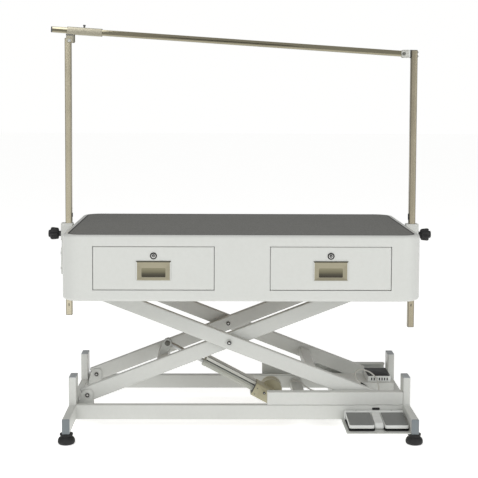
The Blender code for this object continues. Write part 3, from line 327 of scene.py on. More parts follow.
def painted_cup_shade(name):
    """The finger cup's satin metal, with painted shade darkening it towards its lower edge."""
    made, tree, shader = new_material(name)
    place = add_node(tree, "ShaderNodeTexCoord")
    split = add_node(tree, "ShaderNodeSeparateXYZ")
    tree.links.new(place.outputs["Object"], split.inputs["Vector"])
    grain = noise(tree, object_coordinates(tree, (8.0, 260.0, 260.0)), 4.0, 3.0)
    shift = add_node(tree, "ShaderNodeMath", operation="MULTIPLY_ADD")
    tree.links.new(grain, shift.inputs[0])
    shift.inputs[1].default_value = 0.003
    tree.links.new(split.outputs["Z"], shift.inputs[2])
    # painted shade: dark at the cup's lower edge, rising to its lightest near the top
    rise = spread(tree, shift.outputs[0], 0.5505, 0.5775, 0.0, 1.0)
    tone = ramp(tree, rise, ((0.02, (0.030, 0.026, 0.016)), (0.35, (0.070, 0.063, 0.040)),
                             (0.60, (0.150, 0.138, 0.086)), (0.92, (0.215, 0.200, 0.128))))
    link(tree, tone, shader, "Base Color")
    link(tree, spread(tree, grain, 0.2, 0.8, 0.36, 0.50), shader, "Roughness")
    bump(tree, shader, grain, 0.12, 0.0003)
    shader.inputs["Metallic"].default_value = 0.35
    return made


WHITE = powder_coat("white_powder_coat", (0.590, 0.598, 0.570))
WHITE_TOP = powder_coat("white_powder_coat_top", (0.585, 0.595, 0.568), 0.02)
WHITE_PLASTIC = moulded("white_plastic", (0.70, 0.71, 0.69), 0.42, 600.0, 0.0003, 0.12)
# The two posts are one steel in lit and shaded copies: painted light on the left post, painted shade on the
# right.
STEEL_LEFT_LIT = brushed("brushed_left_post_lit", (0.530, 0.485, 0.365), "Z", 0.26, 0.85, (LEFT_POST_X, 0.0))
STEEL_RIGHT_SHADED = brushed("brushed_right_post_shaded", (0.385, 0.345, 0.255), "Z", 0.26, 0.85, (RIGHT_POST_X, 0.0))
STEEL_X = brushed("brushed_steel_bar", (0.410, 0.378, 0.272), "X", 0.06, 0.95, relief=0.01)
STEEL_SLEEVE = brushed("brushed_sleeve", (0.410, 0.385, 0.300), "X", 0.26, 0.85)
PLATE = brushed("brushed_pull_plate", (0.330, 0.305, 0.220), "X", 0.38, 0.6)
ZINC = plated("zinc_plate", (0.60, 0.61, 0.60))
DARK_STEEL = plated("dark_steel", (0.22, 0.22, 0.20), 0.42)
CAST = powder_coat("cast_beige", (0.50, 0.465, 0.320), 0.10)
PALE_CAST = powder_coat("cast_pale", (0.62, 0.60, 0.50), 0.08)
ALUMINIUM = brushed("anodised_tube", (0.50, 0.51, 0.46), "X", 0.36, 0.45)
PALE_ALUMINIUM = brushed("anodised_rail", (0.66, 0.66, 0.61), "X", 0.36, 0.35)
MAT = pebbled_mat("mat_rubber", (0.205, 0.205, 0.190))
MAT_EDGE = moulded("mat_edge_rubber", (0.022, 0.021, 0.019), 0.6, film=0.012)
BLACK_RUBBER = moulded("black_rubber", (0.005, 0.005, 0.005), 0.55, 500.0, 0.0005, 0.3, 0.006)
BLACK_PLASTIC = moulded("black_plastic", (0.004, 0.004, 0.0045), 0.50, 800.0, 0.0003, 0.2, 0.005)
GREY_PLUG = moulded("grey_plug", (0.175, 0.200, 0.212), 0.48)
GREY_CAP = moulded("grey_cap", (0.400, 0.425, 0.440), 0.48)
DARK_CAP = moulded("dark_cap", (0.050, 0.052, 0.055), 0.45)
PEDAL = moulded("pedal_grey", (0.205, 0.210, 0.205), 0.55, 450.0, 0.0006, 0.4)
LIGHT_STEEL = plated("light_steel", (0.58, 0.58, 0.54), 0.40)
CHROME = plated("chrome", (0.62, 0.62, 0.60), 0.12)
DARK_CHROME = plated("dark_chrome", (0.060, 0.060, 0.058), 0.22)
SHADOW_BEVEL = plated("shadow_bevel", (0.085, 0.080, 0.060), 0.45)
CUP_PAINTED_SHADE = painted_cup_shade("painted_cup_shade")
CABLE = moulded("cable_jacket", (0.50, 0.49, 0.45), 0.42, 600.0, 0.0002, 0.1)
PLY = plywood("plywood")

SLOT_MATERIALS = {
    "white_paint": WHITE, "stainless": STEEL_X, "mat_rubber": MAT, "black_rubber": BLACK_RUBBER,
    "black_plastic": BLACK_PLASTIC, "zinc_steel": ZINC, "cast_gearbox": CAST,
    "grey_aluminium": ALUMINIUM, "pedal_grey": PEDAL, "plywood": PLY, "cable_jacket": CABLE,
}
NODE_MATERIALS = {
    "left_pull": PLATE, "right_pull": PLATE,
    "left_drawer": WHITE_TOP, "right_drawer": WHITE_TOP,
}


def dress_cad_nodes():
    """Give each CAD node its material and smooth shading over its round stretches."""
    slots = {row["node"]: row["material_slot"] for row in frame["record"]["subparts"]}
    for name, thing in NODES.items():
        thing.data.materials.clear()
        thing.data.materials.append(NODE_MATERIALS.get(name, SLOT_MATERIALS[slots[name]]))
        for polygon in thing.data.polygons:
            polygon.use_smooth = True
        weld = thing.modifiers.new("weld", "WELD")
        weld.merge_threshold = 0.00002
        split = thing.modifiers.new("split", "EDGE_SPLIT")
        split.split_angle = math.radians(36)
        thing.modifiers.new("normals", "WEIGHTED_NORMAL")


dress_cad_nodes()


# ---- mesh helpers --------------------------------------------------------------------------
def finish_piece(name, bm, material, body, bevel=0.0, segments=2, angle=35.0):
    """Make an object from a bmesh, with its material, shading and body."""
    bmesh.ops.remove_doubles(bm, verts=bm.verts, dist=1e-7)
    bmesh.ops.recalc_face_normals(bm, faces=bm.faces)
    mesh = bpy.data.meshes.new(name)
    bm.to_mesh(mesh)
    bm.free()
    piece = bpy.data.objects.new(name, mesh)
    bpy.context.scene.collection.objects.link(piece)
    mesh.materials.append(material)
    mesh.shade_smooth()
    mesh.set_sharp_from_angle(angle=math.radians(angle))
    if bevel:
        rounding = piece.modifiers.new("bevel", "BEVEL")
        rounding.width = bevel
        rounding.segments = segments
        rounding.limit_method = "ANGLE"
        rounding.angle_limit = math.radians(40)
        rounding.harden_normals = True
    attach(piece, body)
    return piece


def frame_of(axis, up=None):
    """A matrix whose Z column is the axis."""
    z = Vector(axis).normalized()
    hint = Vector(up) if up is not None else (Z_AXIS if abs(z.z) < 0.9 else X_AXIS)
    x = hint.cross(z).normalized()
    y = z.cross(x)
    return Matrix((x, y, z)).transposed()


def add_lathe(bm, profile, origin, axis, steps=32, lobes=0, depth=0.0):
    """Turn (radius, height) points round an axis; lobes make the outline wavy."""
    basis = frame_of(axis)
    rings = []
    for radius, height in profile:
        if radius == 0:
            rings.append([bm.verts.new(Vector(origin) + basis @ Vector((0, 0, height)))])
            continue
        ring = []
        for step in range(steps):
            angle = 2 * math.pi * step / steps
            reach = radius * (1.0 - depth + depth * math.cos(lobes * angle)) if lobes else radius
            place = Vector((reach * math.cos(angle), reach * math.sin(angle), height))
            ring.append(bm.verts.new(Vector(origin) + basis @ place))
        rings.append(ring)
    for lower, upper in zip(rings, rings[1:]):
        for step in range(steps):
            after = (step + 1) % steps
            corners = [lower[step % len(lower)], lower[after % len(lower)],
                       upper[after % len(upper)], upper[step % len(upper)]]
            bm.faces.new(list(dict.fromkeys(corners)))


def add_box(bm, start, end, basis=None, origin=None):
    """A box from start to end, in the frame or in a basis at an origin."""
    corners = []
    for x in (start[0], end[0]):
        for y in (start[1], end[1]):
            for z in (start[2], end[2]):
                place = Vector((x, y, z))
                corners.append(bm.verts.new(place if basis is None else Vector(origin) + basis @ place))
    for face in ((0, 1, 3, 2), (4, 6, 7, 5), (0, 4, 5, 1), (2, 3, 7, 6), (0, 2, 6, 4), (1, 5, 7, 3)):
        bm.faces.new([corners[i] for i in face])


def rounded_rectangle(width, depth, radius, steps=6):
    points = []
    for sign_x, sign_y, start in ((1, 1, 0), (-1, 1, 90), (-1, -1, 180), (1, -1, 270)):
        for step in range(steps + 1):
            angle = math.radians(start + 90 * step / steps)
            points.append((sign_x * (width / 2 - radius) + radius * math.cos(angle),
                           sign_y * (depth / 2 - radius) + radius * math.sin(angle)))
    return points


def add_loft(bm, rings, closed=False, caps=True):
    """Skin a list of rings of points; closed joins the last ring to the first."""
    made = [[bm.verts.new(point) for point in ring] for ring in rings]
    count = len(made[0])
    pairs = list(zip(made, made[1:]))
    if closed:
        pairs.append((made[-1], made[0]))
    for lower, upper in pairs:
        for index in range(count):
            after = (index + 1) % count
            bm.faces.new((lower[index], lower[after], upper[after], upper[index]))
    if caps and not closed:
        bm.faces.new(made[0][::-1])
        bm.faces.new(made[-1])


def add_pillow(bm, centre, width, height, thickness, radius, edge, axis, up=None, steps=6):
    """A flat plate with round corners and a rounded outer edge, facing along an axis."""
    basis = frame_of(axis, up)
    rings = []
    for inset, rise in ((0.0, 0.0), (0.0, thickness - edge), (edge * 0.3, thickness - edge * 0.3),
                        (edge, thickness)):
        outline = rounded_rectangle(width - 2 * inset, height - 2 * inset, max(radius - inset, 0.0004),
                                    steps)
        rings.append([Vector(centre) + basis @ Vector((x, y, rise)) for x, y in outline])
    add_loft(bm, rings)


def add_fastener(bm, point, axis, radius=0.0065, washer=0.0085, height=0.005):
    """A washer and a hexagon nut with its chamfer and the end of its bolt."""
    add_lathe(bm, ((0, 0), (washer, 0), (washer, 0.0010), (washer - 0.0004, 0.0014), (0, 0.0014)), point,
              axis)
    nut = ((0, 0.0014), (radius * 0.93, 0.0014), (radius, 0.0019), (radius, height - 0.0006),
           (radius * 0.88, height), (0, height))
    add_lathe(bm, nut, point, axis, steps=6)
    stud = ((0, height), (radius * 0.50, height), (radius * 0.50, height + 0.0012),
            (radius * 0.42, height + 0.0018), (0, height + 0.0018))
    add_lathe(bm, stud, point, axis, steps=16)


def add_socket_head(bm, point, axis, radius=0.006, height=0.0035):
    """A button head with a hexagon socket sunk into it."""
    add_lathe(bm, ((0, 0), (radius, 0), (radius, height * 0.3), (radius * 0.92, height * 0.65),
                   (radius * 0.72, height * 0.92), (radius * 0.55, height)), point, axis, steps=24)
    rim = radius * 0.55
    add_lathe(bm, ((rim, height), (rim * 0.82, height), (rim * 0.78, height * 0.35), (0, height * 0.30)),
              point, axis, steps=24)


def fasteners(name, body, places, material=ZINC, slot="zinc_steel", kind=add_fastener, **size):
    bm = bmesh.new()
    for point, axis in places:
        kind(bm, point, axis, **size)
    return finish_piece(name, bm, material, body, angle=28.0)


def curve_piece(name, points, radius, material, body, resolution=4):
    curve = bpy.data.curves.new(name, "CURVE")
    curve.dimensions = "3D"
    curve.bevel_depth = radius
    curve.bevel_resolution = resolution
    curve.use_fill_caps = True
    spline = curve.splines.new("POLY")
    spline.points.add(len(points) - 1)
    for knot, place in zip(spline.points, points):
        knot.co = (*place, 1.0)
    piece = bpy.data.objects.new(name, curve)
    curve.materials.append(material)
    bpy.context.scene.collection.objects.link(piece)
    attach(piece, body)
    return piece


# ---- cables --------------------------------------------------------------------------------
SWITCH_ROUTE = (
    (0.4286, 0.0327, 0.1128), (0.4150, 0.0250, 0.1300), (0.4085, 0.0200, 0.1480),
    (0.4180, 0.0180, 0.1620), (0.4380, 0.0180, 0.1640), (0.4640, 0.0180, 0.1530),
    (0.4830, 0.0160, 0.1330), (0.4900, 0.0100, 0.1080), (0.4890, -0.0050, 0.0840),
    (0.4860, -0.0330, 0.0640), (0.4800, -0.0700, 0.0590), (0.4760, -0.1000, 0.0590),
    (0.4750, -0.1175, 0.0590))
ACTUATOR_ROUTE = (
    (0.1900, 0.1500, 0.0860), (0.2080, 0.1490, 0.0890), (0.2280, 0.1460, 0.0840),
    (0.2520, 0.1420, 0.0660), (0.2750, 0.1380, 0.0560), (0.3050, 0.1340, 0.0540),
    (0.3345, 0.1330, 0.0540))
CABLE_RADIUS = 0.0025


def smooth_route(points, count):
    """Points read from a Catmull-Rom curve through the route's own points."""
    knots = [Vector(p) for p in points]
    knots = [2 * knots[0] - knots[1]] + knots + [2 * knots[-1] - knots[-2]]
    spans = len(points) - 1
    route = []
    for step in range(count + 1):
        place = spans * step / count
        span = min(int(place), spans - 1)
        t = place - span
        a, b, c, d = knots[span:span + 4]
        route.append(0.5 * ((2 * b) + (c - a) * t + (2 * a - 5 * b + 4 * c - d) * t * t
                            + (3 * b - a - 3 * c + d) * t * t * t))
    return route


def make_cables():
    for name, route, count in (("foot_switch_cable", SWITCH_ROUTE, 90),
                               ("lift_motor_cable", ACTUATOR_ROUTE, 60)):
        points = smooth_route(route, count)
        piece = curve_piece(name, points, CABLE_RADIUS, CABLE, "base", 5)
        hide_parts("switch_cable" if name == "foot_switch_cable" else "actuator_cable")


make_cables()


# ---- housing -------------------------------------------------------------------------------
CORNER = 0.065
RIM = 0.0165
WALL = 0.0018
TOP_ROUND = 0.010
BOTTOM_ROUND = 0.009
LENGTH = SHELL_HIGH.x - SHELL_LOW.x
WIDTH = SHELL_HIGH.y - SHELL_LOW.y
WINDOW_GAP = 0.0015
DECK_HALF = 0.500
DECK_REAR = -0.1500
DECK_LOW = 0.4985
DECK_TOP = 0.5010
STIFFENER_PLACES = (-0.495, -0.006, 0.483)
STIFFENER_WIDTH = 0.012
STIFFENER_TOP = 0.5120


def ring_at(inset, z, steps=14):
    outline = rounded_rectangle(LENGTH - 2 * inset, WIDTH - 2 * inset, CORNER - inset, steps)
    return [Vector((x, y, z)) for x, y in outline]


def arc_points(centre_inset, centre_z, radius, start, end, steps):
    """(inset, z) points of an arc in the wall's section."""
    points = []
    for step in range(steps + 1):
        angle = math.radians(start + (end - start) * step / steps)
        points.append((centre_inset - radius * math.cos(angle), centre_z + radius * math.sin(angle)))
    return points


def housing():
    """The folded sheet housing: turned-in lower lip, round lower and upper edges, raised rim."""
    z0 = SHELL_LOW.z
    z1 = SHELL_HIGH.z
    section = [(0.020, z0 + WALL), (0.020, z0)]
    section += arc_points(BOTTOM_ROUND, z0 + BOTTOM_ROUND, BOTTOM_ROUND, -90, 0, 6)
    section += arc_points(TOP_ROUND, z1 - TOP_ROUND, TOP_ROUND, 0, 90, 6)
    section += [(RIM - 0.0015, z1), (RIM - 0.0004, z1 - 0.0006), (RIM, z1 - 0.0018),
                (RIM, TOP_Z - 0.0048), (RIM - 0.005, TOP_Z - 0.0050)]
    section += arc_points(TOP_ROUND, z1 - TOP_ROUND, TOP_ROUND - WALL, 70, 0, 4)
    section += arc_points(BOTTOM_ROUND, z0 + BOTTOM_ROUND, BOTTOM_ROUND - WALL, 0, -90, 5)
    bm = bmesh.new()
    add_loft(bm, [ring_at(inset, z) for inset, z in section], closed=True)
    shell = finish_piece("housing", bm, WHITE_TOP, "table_top")
    for word in ("left", "right"):
        cut_window(shell, word)
    shell.modifiers.new("normals", "WEIGHTED_NORMAL").keep_sharp = True
    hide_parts("housing_shell")
    return shell


def cut_window(shell, word):
    """Cut the opening that a drawer's front sits in."""
    face_low = low(word + "_drawer")
    face_high = high(word + "_drawer")
    bm = bmesh.new()
    add_box(bm, (face_low.x - WINDOW_GAP, FRONT_Y - 0.05, face_low.z - WINDOW_GAP),
            (face_high.x + WINDOW_GAP, FRONT_Y + 0.05, face_high.z + WINDOW_GAP))
    mesh = bpy.data.meshes.new("cutter")
    bmesh.ops.recalc_face_normals(bm, faces=bm.faces)
    bm.to_mesh(mesh)
    bm.free()
    cutter = bpy.data.objects.new("cutter", mesh)
    bpy.context.scene.collection.objects.link(cutter)
    modifier = shell.modifiers.new("window", "BOOLEAN")
    modifier.operation = "DIFFERENCE"
    modifier.object = cutter
    graph = bpy.context.evaluated_depsgraph_get()
    cut_mesh = bpy.data.meshes.new_from_object(shell.evaluated_get(graph))
    shell.modifiers.remove(modifier)
    shell.data = cut_mesh
    shell.data.set_sharp_from_angle(angle=math.radians(35))
    bpy.data.objects.remove(cutter, do_unlink=True)


def housing_inside():
    """The drawers' deck and its three stiffeners, seen through the open underside."""
    bm = bmesh.new()
    front = FRONT_Y + WALL
    add_box(bm, (-DECK_HALF, front + 0.0002, DECK_LOW), (DECK_HALF, DECK_REAR, DECK_TOP))
    for x in STIFFENER_PLACES:
        add_box(bm, (x, front + 0.0004, DECK_TOP + 0.0004),
                (x + STIFFENER_WIDTH, DECK_REAR - 0.0010, STIFFENER_TOP))
    finish_piece("drawer_deck", bm, WHITE, "table_top", 0.0006, 1)


def mat():
    """The rubber mat and its slightly raised black edge."""
    edge = 0.0050
    outer = LENGTH - 2 * RIM - 0.001
    across = WIDTH - 2 * RIM - 0.001
    radius = CORNER - RIM - 0.0005
    bottom = low("rubber_mat").z
    bm = bmesh.new()
    rings = []
    for inset, z in ((edge, bottom), (edge, TOP_Z - 0.0004), (edge + 0.0004, TOP_Z)):
        outline = rounded_rectangle(outer - 2 * inset, across - 2 * inset, radius - inset, 12)
        rings.append([Vector((x, y, z)) for x, y in outline])
    add_loft(bm, rings)
    top = finish_piece("mat_surface", bm, MAT, "table_top")
    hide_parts("rubber_mat")
    bm = bmesh.new()
    rings = []
    section = ((0.0, bottom), (0.0, TOP_Z - 0.0010), (0.0010, TOP_Z + 0.0002),
               (edge - 0.0008, TOP_Z + 0.0002), (edge - 0.0001, TOP_Z - 0.0004), (edge - 0.0001, bottom))
    for inset, z in section:
        outline = rounded_rectangle(outer - 2 * inset, across - 2 * inset, radius - inset, 12)
        rings.append([Vector((x, y, z)) for x, y in outline])
    add_loft(bm, rings, closed=True)
    finish_piece("mat_edge", bm, MAT_EDGE, "table_top")


housing()
housing_inside()
mat()


# ---- drawers -------------------------------------------------------------------------------
def dished_pull(word):
    """A pull plate let into a bevelled frame, with a finger cup, a painted shadow on the frame's top bevel,
    a painted highlight on its side bevels and painted highlights at the cup's ends.
    """
    node = word + "_pull"
    centre = middle(node)
    size = high(node) - low(node)
    face = low(node).y
    cup_z = centre.z - 0.0065
    cup_w, cup_h, cup_depth = 0.0745, 0.0275, 0.0160
    field = 0.0014
    frame_w = 0.0034
    top_drop = 0.0009
    levels = ((size.x, size.z, 0.0016, 0.0019), (size.x, size.z, 0.0016, 0.0002),
              (size.x - 0.0012, size.z - 0.0012, 0.0012, 0.0),
              (size.x - 2 * frame_w, size.z - 2 * frame_w, 0.0008, field))
    rings = []
    for width, height, radius, depth in levels:
        outline = rounded_rectangle(width, height, radius, 4)
        drop = top_drop if depth == field else 0.0
        rings.append([Vector((centre.x + x, face + depth, centre.z + z - drop)) for x, z in outline])
    lip = ((cup_w + 0.004, cup_h + 0.004, 0.0040, field),
           (cup_w + 0.001, cup_h + 0.001, 0.0030, field + 0.0006),
           (cup_w, cup_h, 0.0028, field + 0.0018),
           (cup_w - 0.001, cup_h - 0.001, 0.0026, cup_depth - 0.002),
           (cup_w - 0.006, cup_h - 0.006, 0.0020, cup_depth))
    for width, height, radius, depth in lip:
        outline = rounded_rectangle(width, height, radius, 4)
        rings.append([Vector((centre.x + x, face + depth, cup_z + z)) for x, z in outline])
    bm = bmesh.new()
    add_loft(bm, rings)
    plate = finish_piece(word + "_pull_plate", bm, PLATE, word + "_drawer")
    for extra in (CUP_PAINTED_SHADE, SHADOW_BEVEL, WHITE_TOP):
        plate.data.materials.append(extra)
    for polygon in plate.data.polygons:
        x = polygon.center.x - centre.x
        z = polygon.center.z - centre.z
        depth = polygon.center.y - face
        beside_cup = abs(x) < cup_w / 2 + 0.002 and abs(polygon.center.z - cup_z) < cup_h / 2 + 0.002
        on_bevel = 0.0001 < depth < field - 0.0001
        # the cup takes its painted shade, the top bevel a painted shadow and the side bevels white paint as
        # a painted highlight
        if depth > field + 0.0004 and beside_cup:
            polygon.material_index = 1
        elif on_bevel and z > size.z / 2 - frame_w:
            polygon.material_index = 2
        elif on_bevel and abs(x) > size.x / 2 - frame_w:
            polygon.material_index = 3
    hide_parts(node)
    cup_end_highlights(word, centre.x, cup_z, face + field, cup_w, cup_h)


def cup_end_highlights(word, x, z, y, width, height):
    """Painted highlights as light slivers at both ends of the cup, and painted shade as dark corners beside
    them.
    """
    highlight_boxes = bmesh.new()
    dark = bmesh.new()
    for side in (-1, 1):
        edge = x + side * (width / 2 - 0.0006)
        inner = edge - side * 0.0034
        ends = sorted((inner, inner + side * 0.0022))
        add_box(highlight_boxes, (ends[0], y + 0.0012, z - height * 0.42), (ends[1], y + 0.0120, z + height * 0.20))
        ends = sorted((edge, edge - side * 0.0016))
        add_box(dark, (ends[0], y + 0.0014, z - height * 0.44), (ends[1], y + 0.0120, z + height * 0.44))
    finish_piece(word + "_cup_end_highlights", highlight_boxes, LIGHT_STEEL, word + "_drawer", 0.0004, 2)
    finish_piece(word + "_cup_corner_shade", dark, BLACK_PLASTIC, word + "_drawer", 0.0003, 1)


def cam_lock(word):
    """A round lock: a dark rim, a polished dished face, a plug and its key slot."""
    node = word + "_lock"
    centre = middle(node)
    face = low(node).y
    radius = (high(node).x - low(node).x) / 2
    back = face + 0.0023
    place = (centre.x, back, centre.z)
    bm = bmesh.new()
    add_lathe(bm, ((0, -0.0185), (radius - 0.0030, -0.0185), (radius - 0.0030, 0.0003), (radius, 0.0003),
                   (radius, 0.0012), (radius - 0.0008, 0.0020), (radius - 0.0026, 0.0022),
                   (radius - 0.0034, 0.0012), (0, 0.0012)), place, FRONT, steps=40)
    piece = finish_piece(word + "_lock_rim", bm, DARK_CHROME, word + "_lock")
    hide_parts(node)
    bm = bmesh.new()
    add_lathe(bm, ((0.0046, 0.0010), (0.0072, 0.0010), (0.0070, 0.0019), (0.0048, 0.0021),
                   (0.0046, 0.0010)), place, FRONT, steps=40)
    finish_piece(word + "_lock_ring", bm, CHROME, word + "_lock")
    bm = bmesh.new()
    add_lathe(bm, ((0, 0.0010), (0.0042, 0.0010), (0.0040, 0.0024), (0.0030, 0.0028), (0, 0.0029)), place,
              FRONT, steps=32)
    finish_piece(word + "_lock_plug", bm, DARK_CHROME, word + "_lock")
    bm = bmesh.new()
    add_box(bm, (centre.x - 0.0006, back - 0.0032, centre.z - 0.0024),
            (centre.x + 0.0006, back - 0.0026, centre.z + 0.0024))
    finish_piece(word + "_key_slot", bm, CHROME, word + "_lock")


def gap_shade_strips(word):
    """Grey folded strips inside the housing behind the gaps beside a drawer's front, put in as painted shade
    for the gaps.
    """
    node = word + "_drawer"
    lo, hi = low(node), high(node)
    bm = bmesh.new()
    for edge, side in ((lo.x, -1), (hi.x, 1)):
        for near, far, y0, y1 in ((-0.0084, 0.0075, 0.0135, 0.0155), (0.0030, 0.0075, 0.0022, 0.0150)):
            ends = sorted((edge + side * near, edge + side * far))
            add_box(bm, (ends[0], lo.y + y0, lo.z - 0.003), (ends[1], lo.y + y1, hi.z + 0.003))
    finish_piece(word + "_gap_shade_strips", bm, GREY_CAP, "table_top", 0.0004, 1)


for side_word in ("left", "right"):
    gap_shade_strips(side_word)
    dished_pull(side_word)
    cam_lock(side_word)


# ---- plugs, caps and feet --------------------------------------------------------------------
def tube_plug(name, centre, width, height, axis, body, material=GREY_PLUG, up=None, proud=0.0022):
    """A moulded plug in the end of a tube, standing slightly proud."""
    bm = bmesh.new()
    add_pillow(bm, Vector(centre) - Vector(axis) * 0.0002, width - 0.0004, height - 0.0004, proud, 0.0030,
               0.0010, axis, up, 5)
    return finish_piece(name, bm, material, body)


def base_plugs():
    for word in ("left", "right"):
        node = word + "_end_bar"
        centre = middle(node)
        size = high(node) - low(node)
        for end, y, axis in (("front", low(node).y, -Y_AXIS), ("rear", high(node).y, Y_AXIS)):
            tube_plug("%s_%s_base_plug" % (end, word), (centre.x, y, centre.z), size.x, size.z, axis, "base")
            post = "%s_%s_stop_post" % (end, word)
            top = middle(post)
            top.z = high(post).z
            span = high(post) - low(post)
            tube_plug("%s_%s_post_cap" % (end, word), top, span.x, span.y, Z_AXIS, "base", GREY_CAP, Y_AXIS,
                      0.0016)


ARM_MIDDLES = {"front_inner": -0.0715, "front_outer": -0.0995, "rear_inner": 0.2075, "rear_outer": 0.2355}
ARM_SIZE = (0.025, 0.050)


def arm_plugs():
    """Dark plugs in both ends of each arm."""
    for end in ("front", "rear"):
        for kind, start, angle in (("inner", LOWER_PIVOT, ARM_ANGLE), ("outer", UPPER_PIVOT, -ARM_ANGLE)):
            node = "%s_%s_arm" % (end, kind)
            along = Vector((math.cos(angle), 0, math.sin(angle)))
            normal = Vector((-math.sin(angle), 0, math.cos(angle)))
            for tag, distance, facing in (("low", -ARM_OVERHANG, -1),
                                          ("high", ARM_LENGTH + ARM_OVERHANG, 1)):
                centre = start + along * distance
                centre.y = ARM_MIDDLES["%s_%s" % (end, kind)]
                tube_plug("%s_%s_plug" % (node, tag), centre, *ARM_SIZE, along * facing, kind + "_arms",
                          GREY_PLUG, normal, 0.0020)


def foot(word):
    """A rubber levelling foot: a flared skirt, a waist and a toothed collar."""
    node = word + "_foot"
    centre = middle(node)
    radius = (high(node).x - low(node).x) / 2
    top = high(node).z
    bm = bmesh.new()
    profile = ((0, 0.0), (radius * 0.80, 0.0), (radius * 0.90, 0.0012), (radius * 0.985, 0.0045),
               (radius, 0.0090), (radius * 0.985, 0.0125), (radius * 0.93, 0.0170), (radius * 0.84, 0.0205),
               (radius * 0.72, 0.0232), (radius * 0.66, 0.0250), (radius * 0.66, 0.0265),
               (radius * 0.71, 0.0290), (radius * 0.72, top - 0.0012), (radius * 0.69, top - 0.0002),
               (0, top - 0.0002))
    add_lathe(bm, profile, (centre.x, centre.y, 0.0), Z_AXIS, steps=64)
    count = 16
    for step in range(count):
        angle = 2 * math.pi * step / count
        out = Vector((math.cos(angle), math.sin(angle), 0))
        basis = Matrix((out.cross(Z_AXIS), out, Z_AXIS)).transposed()
        add_box(bm, (-0.0022, 0.0, 0.0), (0.0022, 0.0016, 0.0050), basis,
                Vector((centre.x, centre.y, 0.0285)) + out * radius * 0.70)
    piece = finish_piece(word + "_rubber_foot", bm, BLACK_RUBBER, node)
    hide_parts(node)


base_plugs()
arm_plugs()
for foot_word in ("front_left", "front_right", "rear_left", "rear_right"):
    foot(foot_word)


# ---- pivots and rollers ------------------------------------------------------------------------
CHEEK_FACES = {"front": (-0.0897, -0.0533), "rear": (0.1893, 0.2257)}
CENTRE_HEADS = {"front": -0.1190, "rear": 0.2550}


def dome_bolt(name, body, point, axis, radius=0.0072):
    """A dark flanged ring with a light domed head standing in it."""
    ring = bmesh.new()
    add_lathe(ring, ((0, 0), (radius, 0), (radius, 0.0022), (radius * 0.92, 0.0030), (radius * 0.66, 0.0030),
                     (radius * 0.62, 0.0016), (0, 0.0016)), point, axis, steps=32)
    finish_piece(name + "_ring", ring, DARK_CHROME, body)
    head = bmesh.new()
    add_lathe(head, ((0, 0.0014), (radius * 0.54, 0.0014), (radius * 0.54, 0.0034), (radius * 0.44, 0.0044),
                     (radius * 0.20, 0.0050), (0, 0.0051)), point, axis, steps=24)
    finish_piece(name + "_head", head, CHROME, body)


def pivot_fasteners():
    """Bolt heads and nuts on the scissor's pivots."""
    for end, (near, far) in CHEEK_FACES.items():
        dome_bolt("%s_lower_pivot_bolt" % end, "base", (LOWER_PIVOT.x, near - 0.0040, LOWER_PIVOT.z), FRONT)
        fasteners("%s_lower_pivot_nut" % end, "base", [((LOWER_PIVOT.x, far, LOWER_PIVOT.z), REAR)],
                  height=0.0062)
    for end, axis in (("front", FRONT), ("rear", REAR)):
        dome_bolt("%s_centre_bolt" % end, "inner_arms", (CENTRE.x, CENTRE_HEADS[end], CENTRE.z), axis)
    inside = (CENTRE.x, low("rear_inner_arm").y + 0.0002, CENTRE.z)
    dome_bolt("rear_centre_inside_bolt", "inner_arms", inside, FRONT)


def rollers():
    """Moulded wheels with a tread groove, a hub and a bearing shield."""
    for end in ("front", "rear"):
        for level in ("lower", "upper"):
            node = "%s_%s_roller" % (end, level)
            centre = middle(node)
            half = (high(node).y - low(node).y) / 2
            radius = (high(node).x - low(node).x) / 2
            profile = [(0.0066, -half), (radius * 0.55, -half), (radius * 0.60, -half + 0.0012),
                       (radius * 0.84, -half + 0.0012), (radius * 0.90, -half),
                       (radius * 0.96, -half + 0.0006), (radius, -half + 0.0020), (radius, -0.0012),
                       (radius - 0.0010, 0.0)]
            profile += [(r, -y) for r, y in profile[-2::-1]]
            bm = bmesh.new()
            add_lathe(bm, profile + [profile[0]], centre, Y_AXIS, steps=48)
            wheel = finish_piece(node + "_wheel", bm, BLACK_PLASTIC, node)
            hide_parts(node)
            parent = "outer_arms" if level == "lower" else "inner_arms"
            out = FRONT if end == "front" else REAR
            tip = centre - out * (half + 0.0058)
            bm = bmesh.new()
            add_lathe(bm, ((0.0064, 0.0), (0.0105, 0.0), (0.0105, 0.0040), (0.0064, 0.0040), (0.0064, 0.0)),
                      tip, out, steps=32)
            finish_piece(node + "_spacer", bm, ZINC, parent)


def rod_eye_fasteners():
    """The bolt through the rod's eye and the pin through the actuator's rear lug."""
    for name, body, x, z, reach in (("rod_eye", "inner_arms", ROD_EYE.x, ROD_EYE.z, 0.0160),
                                    ("actuator_lug", "base", ACTUATOR_PIVOT.x, ACTUATOR_PIVOT.z, 0.0165)):
        fasteners(name + "_bolt", body, [((x, ACTUATOR_Y - reach, z), FRONT)], DARK_STEEL, radius=0.0075,
                  washer=0.0100, height=0.0060)
        fasteners(name + "_nut", body, [((x, ACTUATOR_Y + reach, z), REAR)], DARK_STEEL, radius=0.0075,
                  washer=0.0100, height=0.0060)


pivot_fasteners()
rollers()
rod_eye_fasteners()


